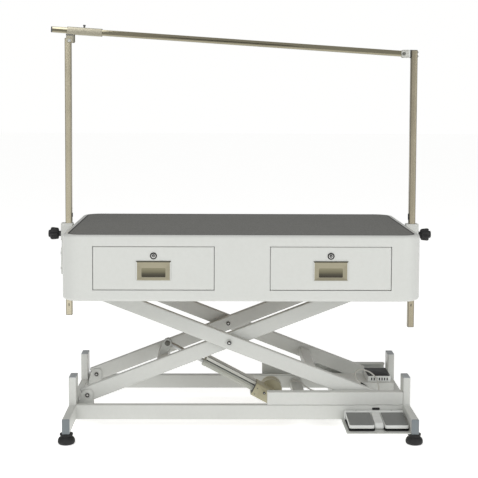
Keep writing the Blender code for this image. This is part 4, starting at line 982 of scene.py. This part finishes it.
# ---- actuator ----------------------------------------------------------------------------------
ALONG = Vector((-math.cos(ACTUATOR_ANGLE), 0.0, math.sin(ACTUATOR_ANGLE)))
ACROSS_UP = Vector((math.sin(ACTUATOR_ANGLE), 0.0, math.cos(ACTUATOR_ANGLE)))
ACTUATOR_BASIS = Matrix((Y_AXIS, ACROSS_UP, ALONG)).transposed()
ACTUATOR_ORIGIN = Vector((ACTUATOR_PIVOT.x, ACTUATOR_Y, ACTUATOR_PIVOT.z))
TUBE_FROM = 0.0983
TUBE_TO = 0.301
TUBE_RADIUS = 0.015
RAIL_TO = 0.295
GEAR_TO = 0.098
GEAR_SIDE = -0.0348
GEAR_COVER_ALONG = 0.052
GEAR_SCREW_ALONG = 0.0885
MOTOR_ALONG = 0.031
MOTOR_UP = 0.012
MOTOR_RADIUS = 0.038


def in_actuator(across, up, along):
    return ACTUATOR_ORIGIN + ACTUATOR_BASIS @ Vector((across, up, along))


def ridged_tube():
    """The extruded tube with lengthwise ridges, its grooved rail and its end cap."""
    bm = bmesh.new()
    rings = []
    count = 72
    for along in (TUBE_FROM, TUBE_TO - 0.014):
        ring = []
        for step in range(count):
            angle = 2 * math.pi * step / count
            radius = TUBE_RADIUS - 0.0009 * (0.5 - 0.5 * math.cos(12 * angle)) ** 3
            ring.append(in_actuator(radius * math.cos(angle), radius * math.sin(angle), along))
        rings.append(ring)
    add_loft(bm, rings)
    tube = finish_piece("actuator_ridged_tube", bm, ALUMINIUM, "actuator_body", angle=25.0)
    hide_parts("actuator_tube")
    bm = bmesh.new()
    for side_from, side_to, low_up, high_up in ((-0.0158, -0.0090, 0.0122, 0.0226),
                                                (-0.0150, 0.0315, 0.0160, 0.0226),
                                                (0.0104, 0.0315, 0.0072, 0.0200)):
        add_box(bm, (side_from, low_up, TUBE_FROM + 0.0005), (side_to, high_up, RAIL_TO), ACTUATOR_BASIS,
                ACTUATOR_ORIGIN)
    finish_piece("actuator_rail", bm, PALE_ALUMINIUM, "actuator_body", 0.0005, 1)
    bm = bmesh.new()
    for side_from, side_to, low_up, high_up in ((-0.0152, -0.0092, 0.0088, 0.0200),
                                                (-0.0156, -0.0140, 0.0215, 0.0238),
                                                (0.0112, 0.0300, 0.0052, 0.0200)):
        add_box(bm, (side_from, low_up, TUBE_FROM + 0.0005), (side_to, high_up, RAIL_TO - 0.002),
                ACTUATOR_BASIS, ACTUATOR_ORIGIN)
    finish_piece("actuator_rail_core", bm, DARK_CAP, "actuator_body", 0.0004, 1)
    bm = bmesh.new()
    cap = ((0.0086, 0.0), (TUBE_RADIUS, 0.0), (TUBE_RADIUS + 0.0008, 0.0010), (TUBE_RADIUS + 0.0008, 0.0105),
           (TUBE_RADIUS - 0.0010, 0.0135), (0.0100, 0.0140), (0.0086, 0.0125), (0.0086, 0.0))
    add_lathe(bm, cap, in_actuator(0, 0, TUBE_TO - 0.014), ALONG, steps=40)
    finish_piece("actuator_wiper_cap", bm, ALUMINIUM, "actuator_body")


def gearbox_details():
    """Flange, cover, screws and the drum-shaped motor's rim and end cap."""
    bm = bmesh.new()
    add_pillow(bm, in_actuator(0, 0, GEAR_TO - 0.0002), 0.058, 0.038, 0.0010, 0.010, 0.0004, ALONG,
               ACROSS_UP)
    finish_piece("gearbox_flange", bm, DARK_CAP, "actuator_body")
    corners = [(in_actuator(u, v, GEAR_TO + 0.0006), ALONG) for u in (-0.024, 0.024)
               for v in (-0.016, 0.016)]
    fasteners("gearbox_screws", "actuator_body", corners, DARK_STEEL, kind=add_socket_head, radius=0.0030,
              height=0.0020)
    bm = bmesh.new()
    add_pillow(bm, in_actuator(GEAR_SIDE, -0.004, GEAR_COVER_ALONG), 0.048, 0.036, 0.0018, 0.004, 0.0008,
               FRONT, ACROSS_UP)
    finish_piece("gearbox_cover", bm, CAST, "actuator_body")
    dome_bolt("gearbox_bolt", "actuator_body", in_actuator(GEAR_SIDE - 0.0016, 0.006, 0.060), FRONT, 0.0048)
    small = [(in_actuator(GEAR_SIDE - 0.0002, up, GEAR_SCREW_ALONG), FRONT) for up in (0.009, -0.014)]
    fasteners("gearbox_side_screws", "actuator_body", small, DARK_STEEL, kind=add_socket_head, radius=0.0020,
              height=0.0014)
    radius = MOTOR_RADIUS
    bm = bmesh.new()
    for across in (0.0372, 0.0790):
        band = ((radius - 0.002, 0.0), (radius + 0.0007, 0.0004), (radius + 0.0007, 0.0046),
                (radius - 0.002, 0.0050), (radius - 0.002, 0.0))
        add_lathe(bm, band, in_actuator(across, MOTOR_UP, MOTOR_ALONG), REAR, steps=64)
    finish_piece("motor_bands", bm, PALE_CAST, "actuator_body")
    bm = bmesh.new()
    dome = ((0, 0.0), (radius * 0.96, 0.0), (radius * 0.94, 0.0016), (radius * 0.80, 0.0030),
            (radius * 0.45, 0.0040), (0, 0.0044))
    add_lathe(bm, dome, in_actuator(0.0848, MOTOR_UP, MOTOR_ALONG), REAR, steps=64)
    finish_piece("motor_end_cap", bm, PALE_CAST, "actuator_body")


ridged_tube()
gearbox_details()


# ---- control unit --------------------------------------------------------------------------------
def control_unit():
    """The lift's control unit: a pale rounded shell with a black lid, slots and screws."""
    node = "control_box"
    centre = middle(node)
    size = high(node) - low(node)
    bottom = low(node).z
    bm = bmesh.new()
    add_pillow(bm, (centre.x, centre.y, bottom), size.x, size.y, size.z - 0.0040, 0.006, 0.0025, Z_AXIS,
               Y_AXIS)
    shell = finish_piece("control_shell", bm, WHITE_PLASTIC, "base")
    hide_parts(node)
    bm = bmesh.new()
    add_pillow(bm, (centre.x, centre.y, bottom + size.z - 0.0042), size.x - 0.006, size.y - 0.006, 0.0042,
               0.006, 0.0015, Z_AXIS, Y_AXIS)
    finish_piece("control_lid", bm, BLACK_PLASTIC, "base")
    bm = bmesh.new()
    for step in range(7):
        x = low(node).x + 0.014 + step * 0.0092
        add_box(bm, (x, low(node).y - 0.0004, bottom + 0.0045),
                (x + 0.0040, low(node).y + 0.0010, bottom + 0.0140))
    finish_piece("control_slots", bm, BLACK_PLASTIC, "base")
    corners = [((centre.x + sx * 0.034, centre.y + sy * 0.045, bottom + size.z - 0.0002), Z_AXIS)
               for sx in (-1, 1) for sy in (-1, 1)]
    fasteners("control_lid_screws", "base", corners, DARK_STEEL, kind=add_socket_head, radius=0.0030,
              height=0.0018)


RELIEF_ROOT = Vector((0.4550, 0.0502, 0.0900))
RELIEF_TIP = Vector((0.4290, 0.0330, 0.1125))


def strain_relief():
    """The ribbed rubber sleeve where the switch cable leaves the tray's flange."""
    root, tip = RELIEF_ROOT, RELIEF_TIP
    run = tip - root
    profile = [(0, 0.0)]
    ribs = 9
    for step in range(ribs):
        along = run.length * step / ribs
        radius = 0.0062 - 0.0018 * step / ribs
        profile += [(radius, along), (radius, along + run.length * 0.55 / ribs),
                    (radius - 0.0007, along + run.length * 0.60 / ribs),
                    (radius - 0.0007, along + run.length * 0.98 / ribs)]
    profile += [(0.0040, run.length), (0, run.length)]
    bm = bmesh.new()
    add_lathe(bm, profile, root, run, steps=24)
    finish_piece("switch_cable_relief", bm, BLACK_RUBBER, "base")


control_unit()
strain_relief()


# ---- foot switch ---------------------------------------------------------------------------------
HOOD_SECTION = ((-0.1460, 0.0378), (-0.1640, 0.0378), (-0.1640, 0.0500), (-0.1628, 0.0670),
                (-0.1600, 0.0690), (-0.1460, 0.0690))
DIVIDER_SECTION = ((-0.1500, 0.0378), (-0.2620, 0.0378), (-0.2680, 0.0440), (-0.2680, 0.0500),
                   (-0.2580, 0.0590), (-0.2100, 0.0632), (-0.2080, 0.0640), (-0.1660, 0.0672),
                   (-0.1500, 0.0682))
PEDAL_REAR = (-0.1655, 0.0668)
PEDAL_FRONT = (-0.2790, 0.0575)
PEDAL_DEPTH = 0.0120
DIVIDER_SPAN = (0.4382, 0.4668)
GLAND_CENTRE = (0.4585, 0.0722)


def add_section(bm, section, x0, x1):
    """A (y, z) section carried along X."""
    add_loft(bm, [[Vector((x, y, z)) for y, z in section] for x in (x0, x1)])


def foot_switch():
    """The switch's hood, the divider between its pedals, the gland and the screws."""
    x0, x1 = low("switch_housing").x, high("switch_housing").x
    bm = bmesh.new()
    add_section(bm, HOOD_SECTION, x0, x1)
    body = finish_piece("switch_hood", bm, WHITE_PLASTIC, "base", 0.0012, 3)
    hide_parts("switch_housing")
    bm = bmesh.new()
    add_section(bm, DIVIDER_SECTION, *DIVIDER_SPAN)
    finish_piece("switch_divider", bm, WHITE_PLASTIC, "base", 0.0014, 3)
    bm = bmesh.new()
    gland = (GLAND_CENTRE[0], low("front_beam").y + 0.0002, GLAND_CENTRE[1])
    add_pillow(bm, gland, 0.026, 0.0075, 0.0030, 0.0036, 0.0012, FRONT, Z_AXIS)
    finish_piece("switch_cable_gland", bm, BLACK_RUBBER, "base")
    screws = [((x, -0.1530, 0.0688), Z_AXIS) for x in (x0 + 0.040, x1 - 0.040)]
    fasteners("switch_hood_screws", "base", screws, ZINC, kind=add_socket_head, radius=0.0036, height=0.0012)


def pedal_outline(x0, x1, inset, corner, steps=7):
    """A pedal's outline in plan, round at its two front corners: (x, y) points."""
    left, right = x0 + inset, x1 - inset
    rear, front = PEDAL_REAR[0] - inset, PEDAL_FRONT[0] + inset
    points = [(right, rear), (left, rear)]
    for start, cx in ((180, left + corner), (270, right - corner)):
        for step in range(steps + 1):
            angle = math.radians(start + 90 * step / steps)
            points.append((cx + corner * math.cos(angle), front + corner + corner * math.sin(angle)))
    return points


def on_pedal(x, y, drop):
    """A point under the pedal's sloping top."""
    slope = (PEDAL_REAR[1] - PEDAL_FRONT[1]) / (PEDAL_REAR[0] - PEDAL_FRONT[0])
    return Vector((x, y, PEDAL_REAR[1] - (PEDAL_REAR[0] - y) * slope - drop))


def pedal(word):
    """A white rocker with round front corners and a ribbed grey pad, with painted shade as a black rim round
    the pad and a dark skirt below.
    """
    node = word + "_pedal"
    x0, x1 = low(node).x, high(node).x
    bm = bmesh.new()
    levels = ((0.0010, 0.0070, PEDAL_DEPTH), (0.0002, 0.0080, PEDAL_DEPTH - 0.0015),
              (0.0002, 0.0080, 0.0026), (0.0010, 0.0074, 0.0014), (0.0024, 0.0064, 0.0010))
    add_loft(bm, [[on_pedal(x, y, drop) for x, y in pedal_outline(x0, x1, inset, corner)]
                  for inset, corner, drop in levels])
    rocker = finish_piece(node + "_rocker", bm, WHITE_PLASTIC, node)
    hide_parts(node)
    # painted shade: a black rim just under the pad's edge
    bm = bmesh.new()
    add_loft(bm, [[on_pedal(x, y, drop) for x, y in pedal_outline(x0, x1, 0.0020, 0.0068)]
                  for drop in (0.0022, 0.0008)])
    finish_piece(node + "_pad_shade_rim", bm, BLACK_RUBBER, node)
    bm = bmesh.new()
    add_loft(bm, [[on_pedal(x, y, drop) for x, y in pedal_outline(x0, x1, inset, 0.0064)]
                  for inset, drop in ((0.0026, 0.0020), (0.0026, 0.0002), (0.0032, -0.0002))])
    for step in range(11):
        y = PEDAL_REAR[0] - 0.0100 - step * 0.0086
        rib = [(y, 0.0), (y - 0.0026, 0.0), (y - 0.0022, -0.0005), (y - 0.0004, -0.0005)]
        rings = [[on_pedal(x, place, drop) for place, drop in rib] for x in (x0 + 0.013, x1 - 0.013)]
        add_loft(bm, rings)
    finish_piece(node + "_pad", bm, PEDAL, node)
    # painted shade: a dark skirt under the pedal, in the gap above the base
    bm = bmesh.new()
    add_loft(bm, [[Vector((x, y, z)) for x, y in pedal_outline(x0, x1, -0.0008, 0.0086)]
                  for z in (0.0376, 0.0415)])
    finish_piece(node + "_shade_skirt", bm, BLACK_RUBBER, "base")


foot_switch()
pedal("left")
pedal("right")


# ---- gantry ----------------------------------------------------------------------------------------
POST_SIZE = 0.022
POST_HALF = POST_SIZE / 2
BAR_SIZE = 0.020
SLEEVE_SIZE = 0.026
BAR_LEFT = -0.6476
SLEEVE_ENDS = (-0.592, -0.474)
THUMB_X = -0.5357
CAP = 0.0020
BUMPER_SPANS = {"left": (0.703, 0.717), "right": (0.695, 0.717)}
STOP_SLOT_Z = 0.399
HANGER_OUT = 0.0143
HANGER_EDGE = 0.0116


def on_bar(x, rise=0.0, y=0.0):
    """A point at x on the bar's axis, raised across the bar."""
    along = (BAR_PIVOT.x - x) / math.cos(BAR_TILT)
    return BAR_PIVOT + BAR_AXIS * along + BAR_UP * rise + Vector((0, y, 0))


def add_square_tube(bm, start, end, size, radius, up, bore=0.0):
    """A square tube between two points; a bore leaves it open at both ends."""
    axis = (Vector(end) - Vector(start)).normalized()
    basis = frame_of(axis, up)
    outer = rounded_rectangle(size, size, radius, 5)
    rings = [[Vector(place) + basis @ Vector((x, y, 0)) for x, y in outer] for place in (start, end)]
    if bore:
        inner = rounded_rectangle(bore, bore, max(radius - (size - bore) / 2, 0.0004), 5)
        rings += [[Vector(place) + basis @ Vector((x, y, 0)) for x, y in inner] for place in (end, start)]
    add_loft(bm, rings, closed=bool(bore))


def posts():
    for word, x, material in (("left", LEFT_POST_X, STEEL_LEFT_LIT), ("right", RIGHT_POST_X, STEEL_RIGHT_SHADED)):
        node = word + "_post"
        bottom = low(node).z
        top = high(node).z
        bm = bmesh.new()
        add_square_tube(bm, (x, 0, bottom + CAP), (x, 0, top - CAP), POST_SIZE, 0.0024, Y_AXIS)
        tube = finish_piece(node + "_tube", bm, material, node, angle=10.0)
        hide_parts(node)
        for tag, z, axis in (("top", top - CAP, Z_AXIS), ("bottom", bottom + CAP, -Z_AXIS)):
            tube_plug("%s_%s_cap" % (node, tag), (x, 0, z), POST_SIZE, POST_SIZE, axis, node, DARK_CAP,
                      Y_AXIS, CAP)
        inward = 1 if word == "left" else -1
        face = x + inward * POST_HALF
        span = BUMPER_SPANS[word]
        bm = bmesh.new()
        centre = (face - inward * 0.0003, 0, sum(span) / 2)
        add_pillow(bm, centre, 0.015, span[1] - span[0], 0.0018, 0.003, 0.0008, X_AXIS * inward, Z_AXIS)
        finish_piece(node + "_bumper", bm, BLACK_RUBBER, node)
        bm = bmesh.new()
        add_pillow(bm, (x, -POST_HALF + 0.0003, STOP_SLOT_Z), 0.0030, 0.010, 0.0006, 0.0014, 0.0003, FRONT,
                   Z_AXIS)
        finish_piece(node + "_stop_slot", bm, BLACK_PLASTIC, node)


def bar_and_sleeve():
    bm = bmesh.new()
    add_square_tube(bm, on_bar(BAR_LEFT + 0.005), on_bar(BAR_PIVOT.x + 0.0100), BAR_SIZE, 0.0022, BAR_UP)
    bar = finish_piece("bar_tube", bm, STEEL_X, "top_bar", angle=10.0)
    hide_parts("top_bar")
    tube_plug("bar_left_cap", on_bar(BAR_LEFT + 0.005), BAR_SIZE, BAR_SIZE, BAR_AXIS, "top_bar", DARK_CAP,
              BAR_UP, 0.005)
    bm = bmesh.new()
    add_square_tube(bm, on_bar(SLEEVE_ENDS[0]), on_bar(SLEEVE_ENDS[1]), SLEEVE_SIZE, 0.0030, BAR_UP, 0.0214)
    sleeve = finish_piece("sleeve_tube", bm, STEEL_SLEEVE, "bar_sleeve", angle=10.0)
    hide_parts("bar_sleeve")
    bm = bmesh.new()
    outline = ((-0.0115, 0.0240), (-0.0115, -0.0020), (-0.0085, -0.0060), (0.0130, -0.0070),
               (0.0160, -0.0040), (0.0160, 0.0240))
    for y0, y1 in ((-HANGER_OUT, -0.0118), (0.0118, HANGER_OUT)):
        rings = [[SLEEVE_PIVOT + Vector((x, y, z)) for x, z in outline] for y in (y0, y1)]
        add_loft(bm, rings)
    finish_piece("sleeve_hanger", bm, STEEL_SLEEVE, "bar_sleeve", 0.0006, 2)
    # painted shade: dark strips along the hanger's right edge and its top, where its side and the gap under
    # the bar are in shade
    bm = bmesh.new()
    edge = SLEEVE_PIVOT.x + HANGER_EDGE
    for y0, y1 in ((-0.0146, -0.0117), (0.0117, 0.0146)):
        add_box(bm, (edge, y0, 1.3020), (edge + 0.0024, y1, 1.3270))
        add_box(bm, (SLEEVE_PIVOT.x - 0.0117, y0, 1.3255), (edge + 0.0024, y1, 1.3300))
    finish_piece("sleeve_hanger_edge_shade", bm, DARK_CAP, "bar_sleeve", 0.0005, 1)
    for tag, axis in (("bolt", FRONT), ("nut", REAR)):
        point = SLEEVE_PIVOT + axis * HANGER_OUT
        fasteners("hanger_" + tag, "left_post", [(point, axis)], radius=0.0042, washer=0.0056, height=0.0040)


def thumb_screw():
    """A slim knurled screw on top of the sleeve."""
    base = on_bar(THUMB_X, SLEEVE_SIZE / 2 - 0.0004)
    bm = bmesh.new()
    add_lathe(bm, ((0, 0), (0.0040, 0), (0.0040, 0.0012), (0.0027, 0.0014), (0.0027, 0.0056),
                   (0, 0.0056)), base, BAR_UP, steps=28)
    neck = finish_piece("thumb_screw_neck", bm, DARK_STEEL, "thumb_screw")
    bm = bmesh.new()
    add_lathe(bm, ((0, 0.0048), (0.0032, 0.0048), (0.0044, 0.0060), (0.0048, 0.0078), (0.0042, 0.0096),
                   (0.0024, 0.0106), (0, 0.0108)), base, BAR_UP, steps=72, lobes=18, depth=0.03)
    finish_piece("thumb_screw_head", bm, DARK_CAP, "thumb_screw")
    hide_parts("thumb_screw")


FORK_BOTTOM = 1.2555
FORK_TOP = 1.2825


def fork():
    """The fork on the right post with its bolt, two screws and dark gasket."""
    face = RIGHT_POST_X - POST_HALF
    bottom, top = FORK_BOTTOM, FORK_TOP
    end = face - 0.0088
    outline = ((end, bottom), (end, top), (BAR_PIVOT.x - 0.003, top), (BAR_PIVOT.x - 0.009, top - 0.006),
               (BAR_PIVOT.x - 0.009, bottom + 0.006), (BAR_PIVOT.x - 0.003, bottom))
    bm = bmesh.new()
    for y0, y1 in ((-0.0138, -0.0108), (0.0108, 0.0138)):
        add_loft(bm, [[Vector((x, y, z)) for x, z in outline] for y in (y0, y1)])
    finish_piece("bar_fork", bm, LIGHT_STEEL, "right_post", 0.0007, 2)
    bm = bmesh.new()
    add_box(bm, (end - 0.0006, -0.0132, bottom + 0.0008), (face - 0.0042, 0.0132, top - 0.0008))
    finish_piece("bar_fork_block", bm, WHITE_TOP, "right_post", 0.0007, 2)
    bm = bmesh.new()
    add_box(bm, (face - 0.0044, -0.0120, bottom), (face + 0.0002, 0.0120, top))
    finish_piece("bar_fork_gasket", bm, BLACK_RUBBER, "right_post", 0.0003, 1)
    for tag, axis in (("bolt", FRONT), ("nut", REAR)):
        fasteners("bar_fork_" + tag, "right_post", [(BAR_PIVOT + axis * 0.0138, axis)], DARK_STEEL,
                  radius=0.0046, washer=0.0060, height=0.0042)
    out = RIGHT_POST_X + POST_HALF - 0.0002
    screws = [((out, 0, z), X_AXIS) for z in (1.2605, 1.2745)]
    fasteners("bar_fork_screws", "right_post", screws, radius=0.0042, washer=0.0052, height=0.0034)


def knob(word):
    """A tapered star knob with a boss behind it."""
    node = word + "_knob"
    side = -1 if word == "left" else 1
    face = abs(low(node).x if side > 0 else high(node).x)
    base = (side * face, 0, middle(node).z)
    axis = X_AXIS * side
    bm = bmesh.new()
    add_lathe(bm, ((0, 0), (0.0100, 0), (0.0094, 0.0060), (0.0105, 0.0110), (0, 0.0110)), base, axis,
              steps=40)
    add_lathe(bm, ((0, 0.034), (0.0125, 0.034), (0.0125, 0.0420), (0.0112, 0.0433), (0, 0.0435)), base, axis,
              steps=40)
    head = finish_piece(node + "_hub", bm, BLACK_PLASTIC, node)
    bm = bmesh.new()
    profile = ((0, 0.0085), (0.0150, 0.0085), (0.0185, 0.0100), (0.0200, 0.0125), (0.0216, 0.0250),
               (0.0220, 0.0310), (0.0212, 0.0345), (0.0190, 0.0365), (0.0130, 0.0370), (0, 0.0370))
    add_lathe(bm, profile, base, axis, steps=96, lobes=7, depth=0.13)
    finish_piece(node + "_grip", bm, BLACK_PLASTIC, node)
    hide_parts(node)


BRACKET_SCREWS = (0.525, 0.578)
BRACKET_SIDE_SCREWS = (0.515, 0.588)


def bracket_details(word):
    """Boss behind the knob and screws on a clamp bracket."""
    node = word + "_clamp_bracket"
    side = -1 if word == "left" else 1
    face = low(node).x if side < 0 else high(node).x
    axis = X_AXIS * side
    bm = bmesh.new()
    add_lathe(bm, ((0, 0), (0.0125, 0), (0.0125, 0.0001), (0.0118, 0.0002), (0, 0.0002)),
              (face, 0, middle(word + "_knob").z), axis, steps=32)
    finish_piece(node + "_boss", bm, ZINC, "table_top")
    screws = [((face - side * 0.0002, 0, z), axis) for z in BRACKET_SCREWS]
    fasteners(node + "_screws", "table_top", screws, DARK_STEEL, kind=add_socket_head, radius=0.0052,
              height=0.0032)
    front = low(node).y
    screws = [((middle(node).x + side * 0.002, front + 0.0002, z), FRONT) for z in BRACKET_SIDE_SCREWS]
    fasteners(node + "_side_screws", "table_top", screws, ZINC, kind=add_socket_head, radius=0.0034,
              height=0.0018)


posts()
bar_and_sleeve()
thumb_screw()
fork()
for side_word in ("left", "right"):
    knob(side_word)
    bracket_details(side_word)


# ---- weld beads ------------------------------------------------------------------------------------
BEAD = 0.0022
BASE_INNER = 0.550
BEAM_LOW = 0.034
BEAM_HIGH = 0.084
CROSS_BEAD_HIGH = 0.067
UPPER_BEAD_LOW = 0.492
UPPER_BEAD_HIGH = 0.520


def add_bead(bm, start, end, radius=BEAD, sides=8):
    """A rippled weld bead from one point to another."""
    start = Vector(start)
    run = Vector(end) - start
    basis = frame_of(run)
    steps = max(4, int(run.length / 0.0016))
    rings = []
    for step in range(steps + 1):
        swell = radius * (0.82 + 0.18 * math.cos(math.pi * step)) * (0.6 if step in (0, steps) else 1.0)
        centre = start + run * step / steps
        rings.append([centre + basis @ Vector((swell * math.cos(a), swell * math.sin(a), 0))
                      for a in (2 * math.pi * k / sides for k in range(sides))])
    add_loft(bm, rings)


def base_beads():
    bm = bmesh.new()
    for side in (-1, 1):
        x = side * BASE_INNER
        for node in ("front_beam", "rear_beam"):
            for y in (low(node).y, high(node).y):
                add_bead(bm, (x, y, BEAM_LOW + 0.003), (x, y, BEAM_HIGH - 0.003))
            add_bead(bm, (x, low(node).y + 0.003, BEAM_HIGH), (x, high(node).y - 0.003, BEAM_HIGH))
        word = "left" if side < 0 else "right"
        for end in ("front", "rear"):
            node = "%s_%s_stop_post" % (end, word)
            lo, hi = low(node), high(node)
            z = BEAM_HIGH
            add_bead(bm, (lo.x + 0.002, lo.y, z), (hi.x - 0.002, lo.y, z))
            add_bead(bm, (lo.x + 0.002, hi.y, z), (hi.x - 0.002, hi.y, z))
    for x in (low("actuator_cross_member").x, high("actuator_cross_member").x):
        for y in (high("front_beam").y, low("rear_beam").y):
            add_bead(bm, (x, y, BEAM_LOW + 0.003), (x, y, CROSS_BEAD_HIGH))
    for end in ("front", "rear"):
        track = end + "_lower_track"
        y = low(track).y if end == "front" else high(track).y
        for step in range(6):
            x = low(track).x + 0.030 + step * 0.078
            add_bead(bm, (x, y, BEAM_HIGH + 0.0004), (x + 0.026, y, BEAM_HIGH + 0.0004), 0.0018)
    finish_piece("base_weld_beads", bm, WHITE, "base", angle=60.0)


def frame_beads():
    """Beads round the cross tubes' ends and at the upper frame's corners."""
    for name, body, origin, distance, angle, ends in (
            ("inner_tube_beads", "inner_arms", LOWER_PIVOT, 0.270, ARM_ANGLE, (-0.0589, 0.1949)),
            ("outer_tube_beads", "outer_arms", CENTRE, 0.300, -ARM_ANGLE, (-0.0869, 0.2229))):
        along = Vector((math.cos(angle), 0, math.sin(angle)))
        normal = Vector((-math.sin(angle), 0, math.cos(angle)))
        centre = origin + along * distance
        bm = bmesh.new()
        for y in ends:
            for rise in (-0.010, 0.010):
                a = centre - along * 0.018 + normal * rise
                b = centre + along * 0.018 + normal * rise
                add_bead(bm, (a.x, y, a.z), (b.x, y, b.z))
        finish_piece(name, bm, WHITE, body, angle=60.0)
    bm = bmesh.new()
    for node, side in (("upper_left_end_bar", 1), ("upper_right_end_bar", -1)):
        x = high(node).x if side > 0 else low(node).x
        for channel in ("front_upper_channel", "rear_upper_channel"):
            for y in (low(channel).y + 0.004, high(channel).y - 0.004):
                add_bead(bm, (x, y, UPPER_BEAD_LOW), (x, y, UPPER_BEAD_HIGH))
    finish_piece("upper_frame_beads", bm, WHITE, "table_top", angle=60.0)


base_beads()
frame_beads()


# ---- studio --------------------------------------------------------------------------------------
WORLD_LIGHT = 0.42
FLOOR_REACH = 30.0
CARD_Y = -3.95
CARD_ENDS = ((-0.2590, 0.0225), (0.1980, 0.0140))
CARD_SPREAD = 5


def black_card():
    """A dark board above the camera, which the polished bar mirrors along its middle."""
    made, tree, shader = new_material("card_black")
    weave = noise(tree, object_coordinates(tree), 40.0, 2.0)
    link(tree, ramp(tree, weave, ((0.3, (0.010, 0.009, 0.006)), (0.7, (0.014, 0.013, 0.009)))), shader,
         "Base Color")
    shader.inputs["Roughness"].default_value = 0.95
    camera = bpy.context.scene.camera.location
    corners = []
    for x, lean in CARD_ENDS:
        ends = []
        for side in (1, -1):
            seen = on_bar(x - side * lean / 2, side * BAR_SIZE / 2, -BAR_SIZE / 2)
            reach = (seen.y - CARD_Y) / (seen.y - camera.y)
            ray = seen - camera
            ends.append(Vector((seen.x + ray.x * reach, CARD_Y, seen.z + ray.z * reach)))
        middle_point = (ends[0] + ends[1]) / 2
        corners += [middle_point + (end - middle_point) * CARD_SPREAD for end in ends]
    mesh = bpy.data.meshes.new("black_card")
    mesh.from_pydata([tuple(corner) for corner in corners], [], [(0, 1, 3, 2)])
    card = bpy.data.objects.new("black_card", mesh)
    mesh.materials.append(made)
    bpy.context.scene.collection.objects.link(card)
    card.visible_camera = False
    card.visible_diffuse = False
    card.visible_shadow = False


def studio():
    made, tree, shader = new_material("floor_white")
    where = object_coordinates(tree)
    soft = noise(tree, where, 1.5, 2.0)
    link(tree, ramp(tree, soft, ((0.3, (0.90, 0.90, 0.895)), (0.7, (0.91, 0.91, 0.905)))), shader,
         "Base Color")
    shader.inputs["Roughness"].default_value = 0.9
    shader.inputs["Emission Color"].default_value = (1.0, 1.0, 0.995, 1.0)
    shader.inputs["Emission Strength"].default_value = 0.60
    mesh = bpy.data.meshes.new("floor")
    corners = [(x * FLOOR_REACH, y * FLOOR_REACH, 0) for x, y in ((-1, -1), (1, -1), (1, 1), (-1, 1))]
    mesh.from_pydata(corners, [], [(0, 1, 2, 3)])
    floor = bpy.data.objects.new("floor", mesh)
    floor.location.z = -0.0002
    mesh.materials.append(made)
    bpy.context.scene.collection.objects.link(floor)
    world = bpy.data.worlds.new("studio")
    bpy.context.scene.world = world
    world.use_nodes = True
    world_tree = world.node_tree
    background = world_tree.nodes["Background"]
    background.inputs["Color"].default_value = (1.0, 1.0, 0.995, 1.0)
    path = add_node(world_tree, "ShaderNodeLightPath")
    strength = spread(world_tree, path.outputs["Is Camera Ray"], 0.0, 1.0, WORLD_LIGHT, 1.0)
    world_tree.links.new(strength, background.inputs["Strength"])
    bpy.context.scene.view_settings.view_transform = "Standard"
    black_card()
    lights = (("key", (-1.8, -3.4, 3.0), 2.6, 62.0), ("fill", (2.8, -2.8, 1.8), 2.4, 34.0),
              ("top", (0.0, 0.4, 4.2), 3.2, 14.0))
    for name, place, size, power in lights:
        data = bpy.data.lights.new(name, "AREA")
        data.size = size
        data.energy = power
        light = bpy.data.objects.new(name, data)
        light.location = place
        aim = Vector((0.0, 0.0, 0.6)) - Vector(place)
        light.rotation_euler = aim.to_track_quat("-Z", "Y").to_euler()
        bpy.context.scene.collection.objects.link(light)


studio()
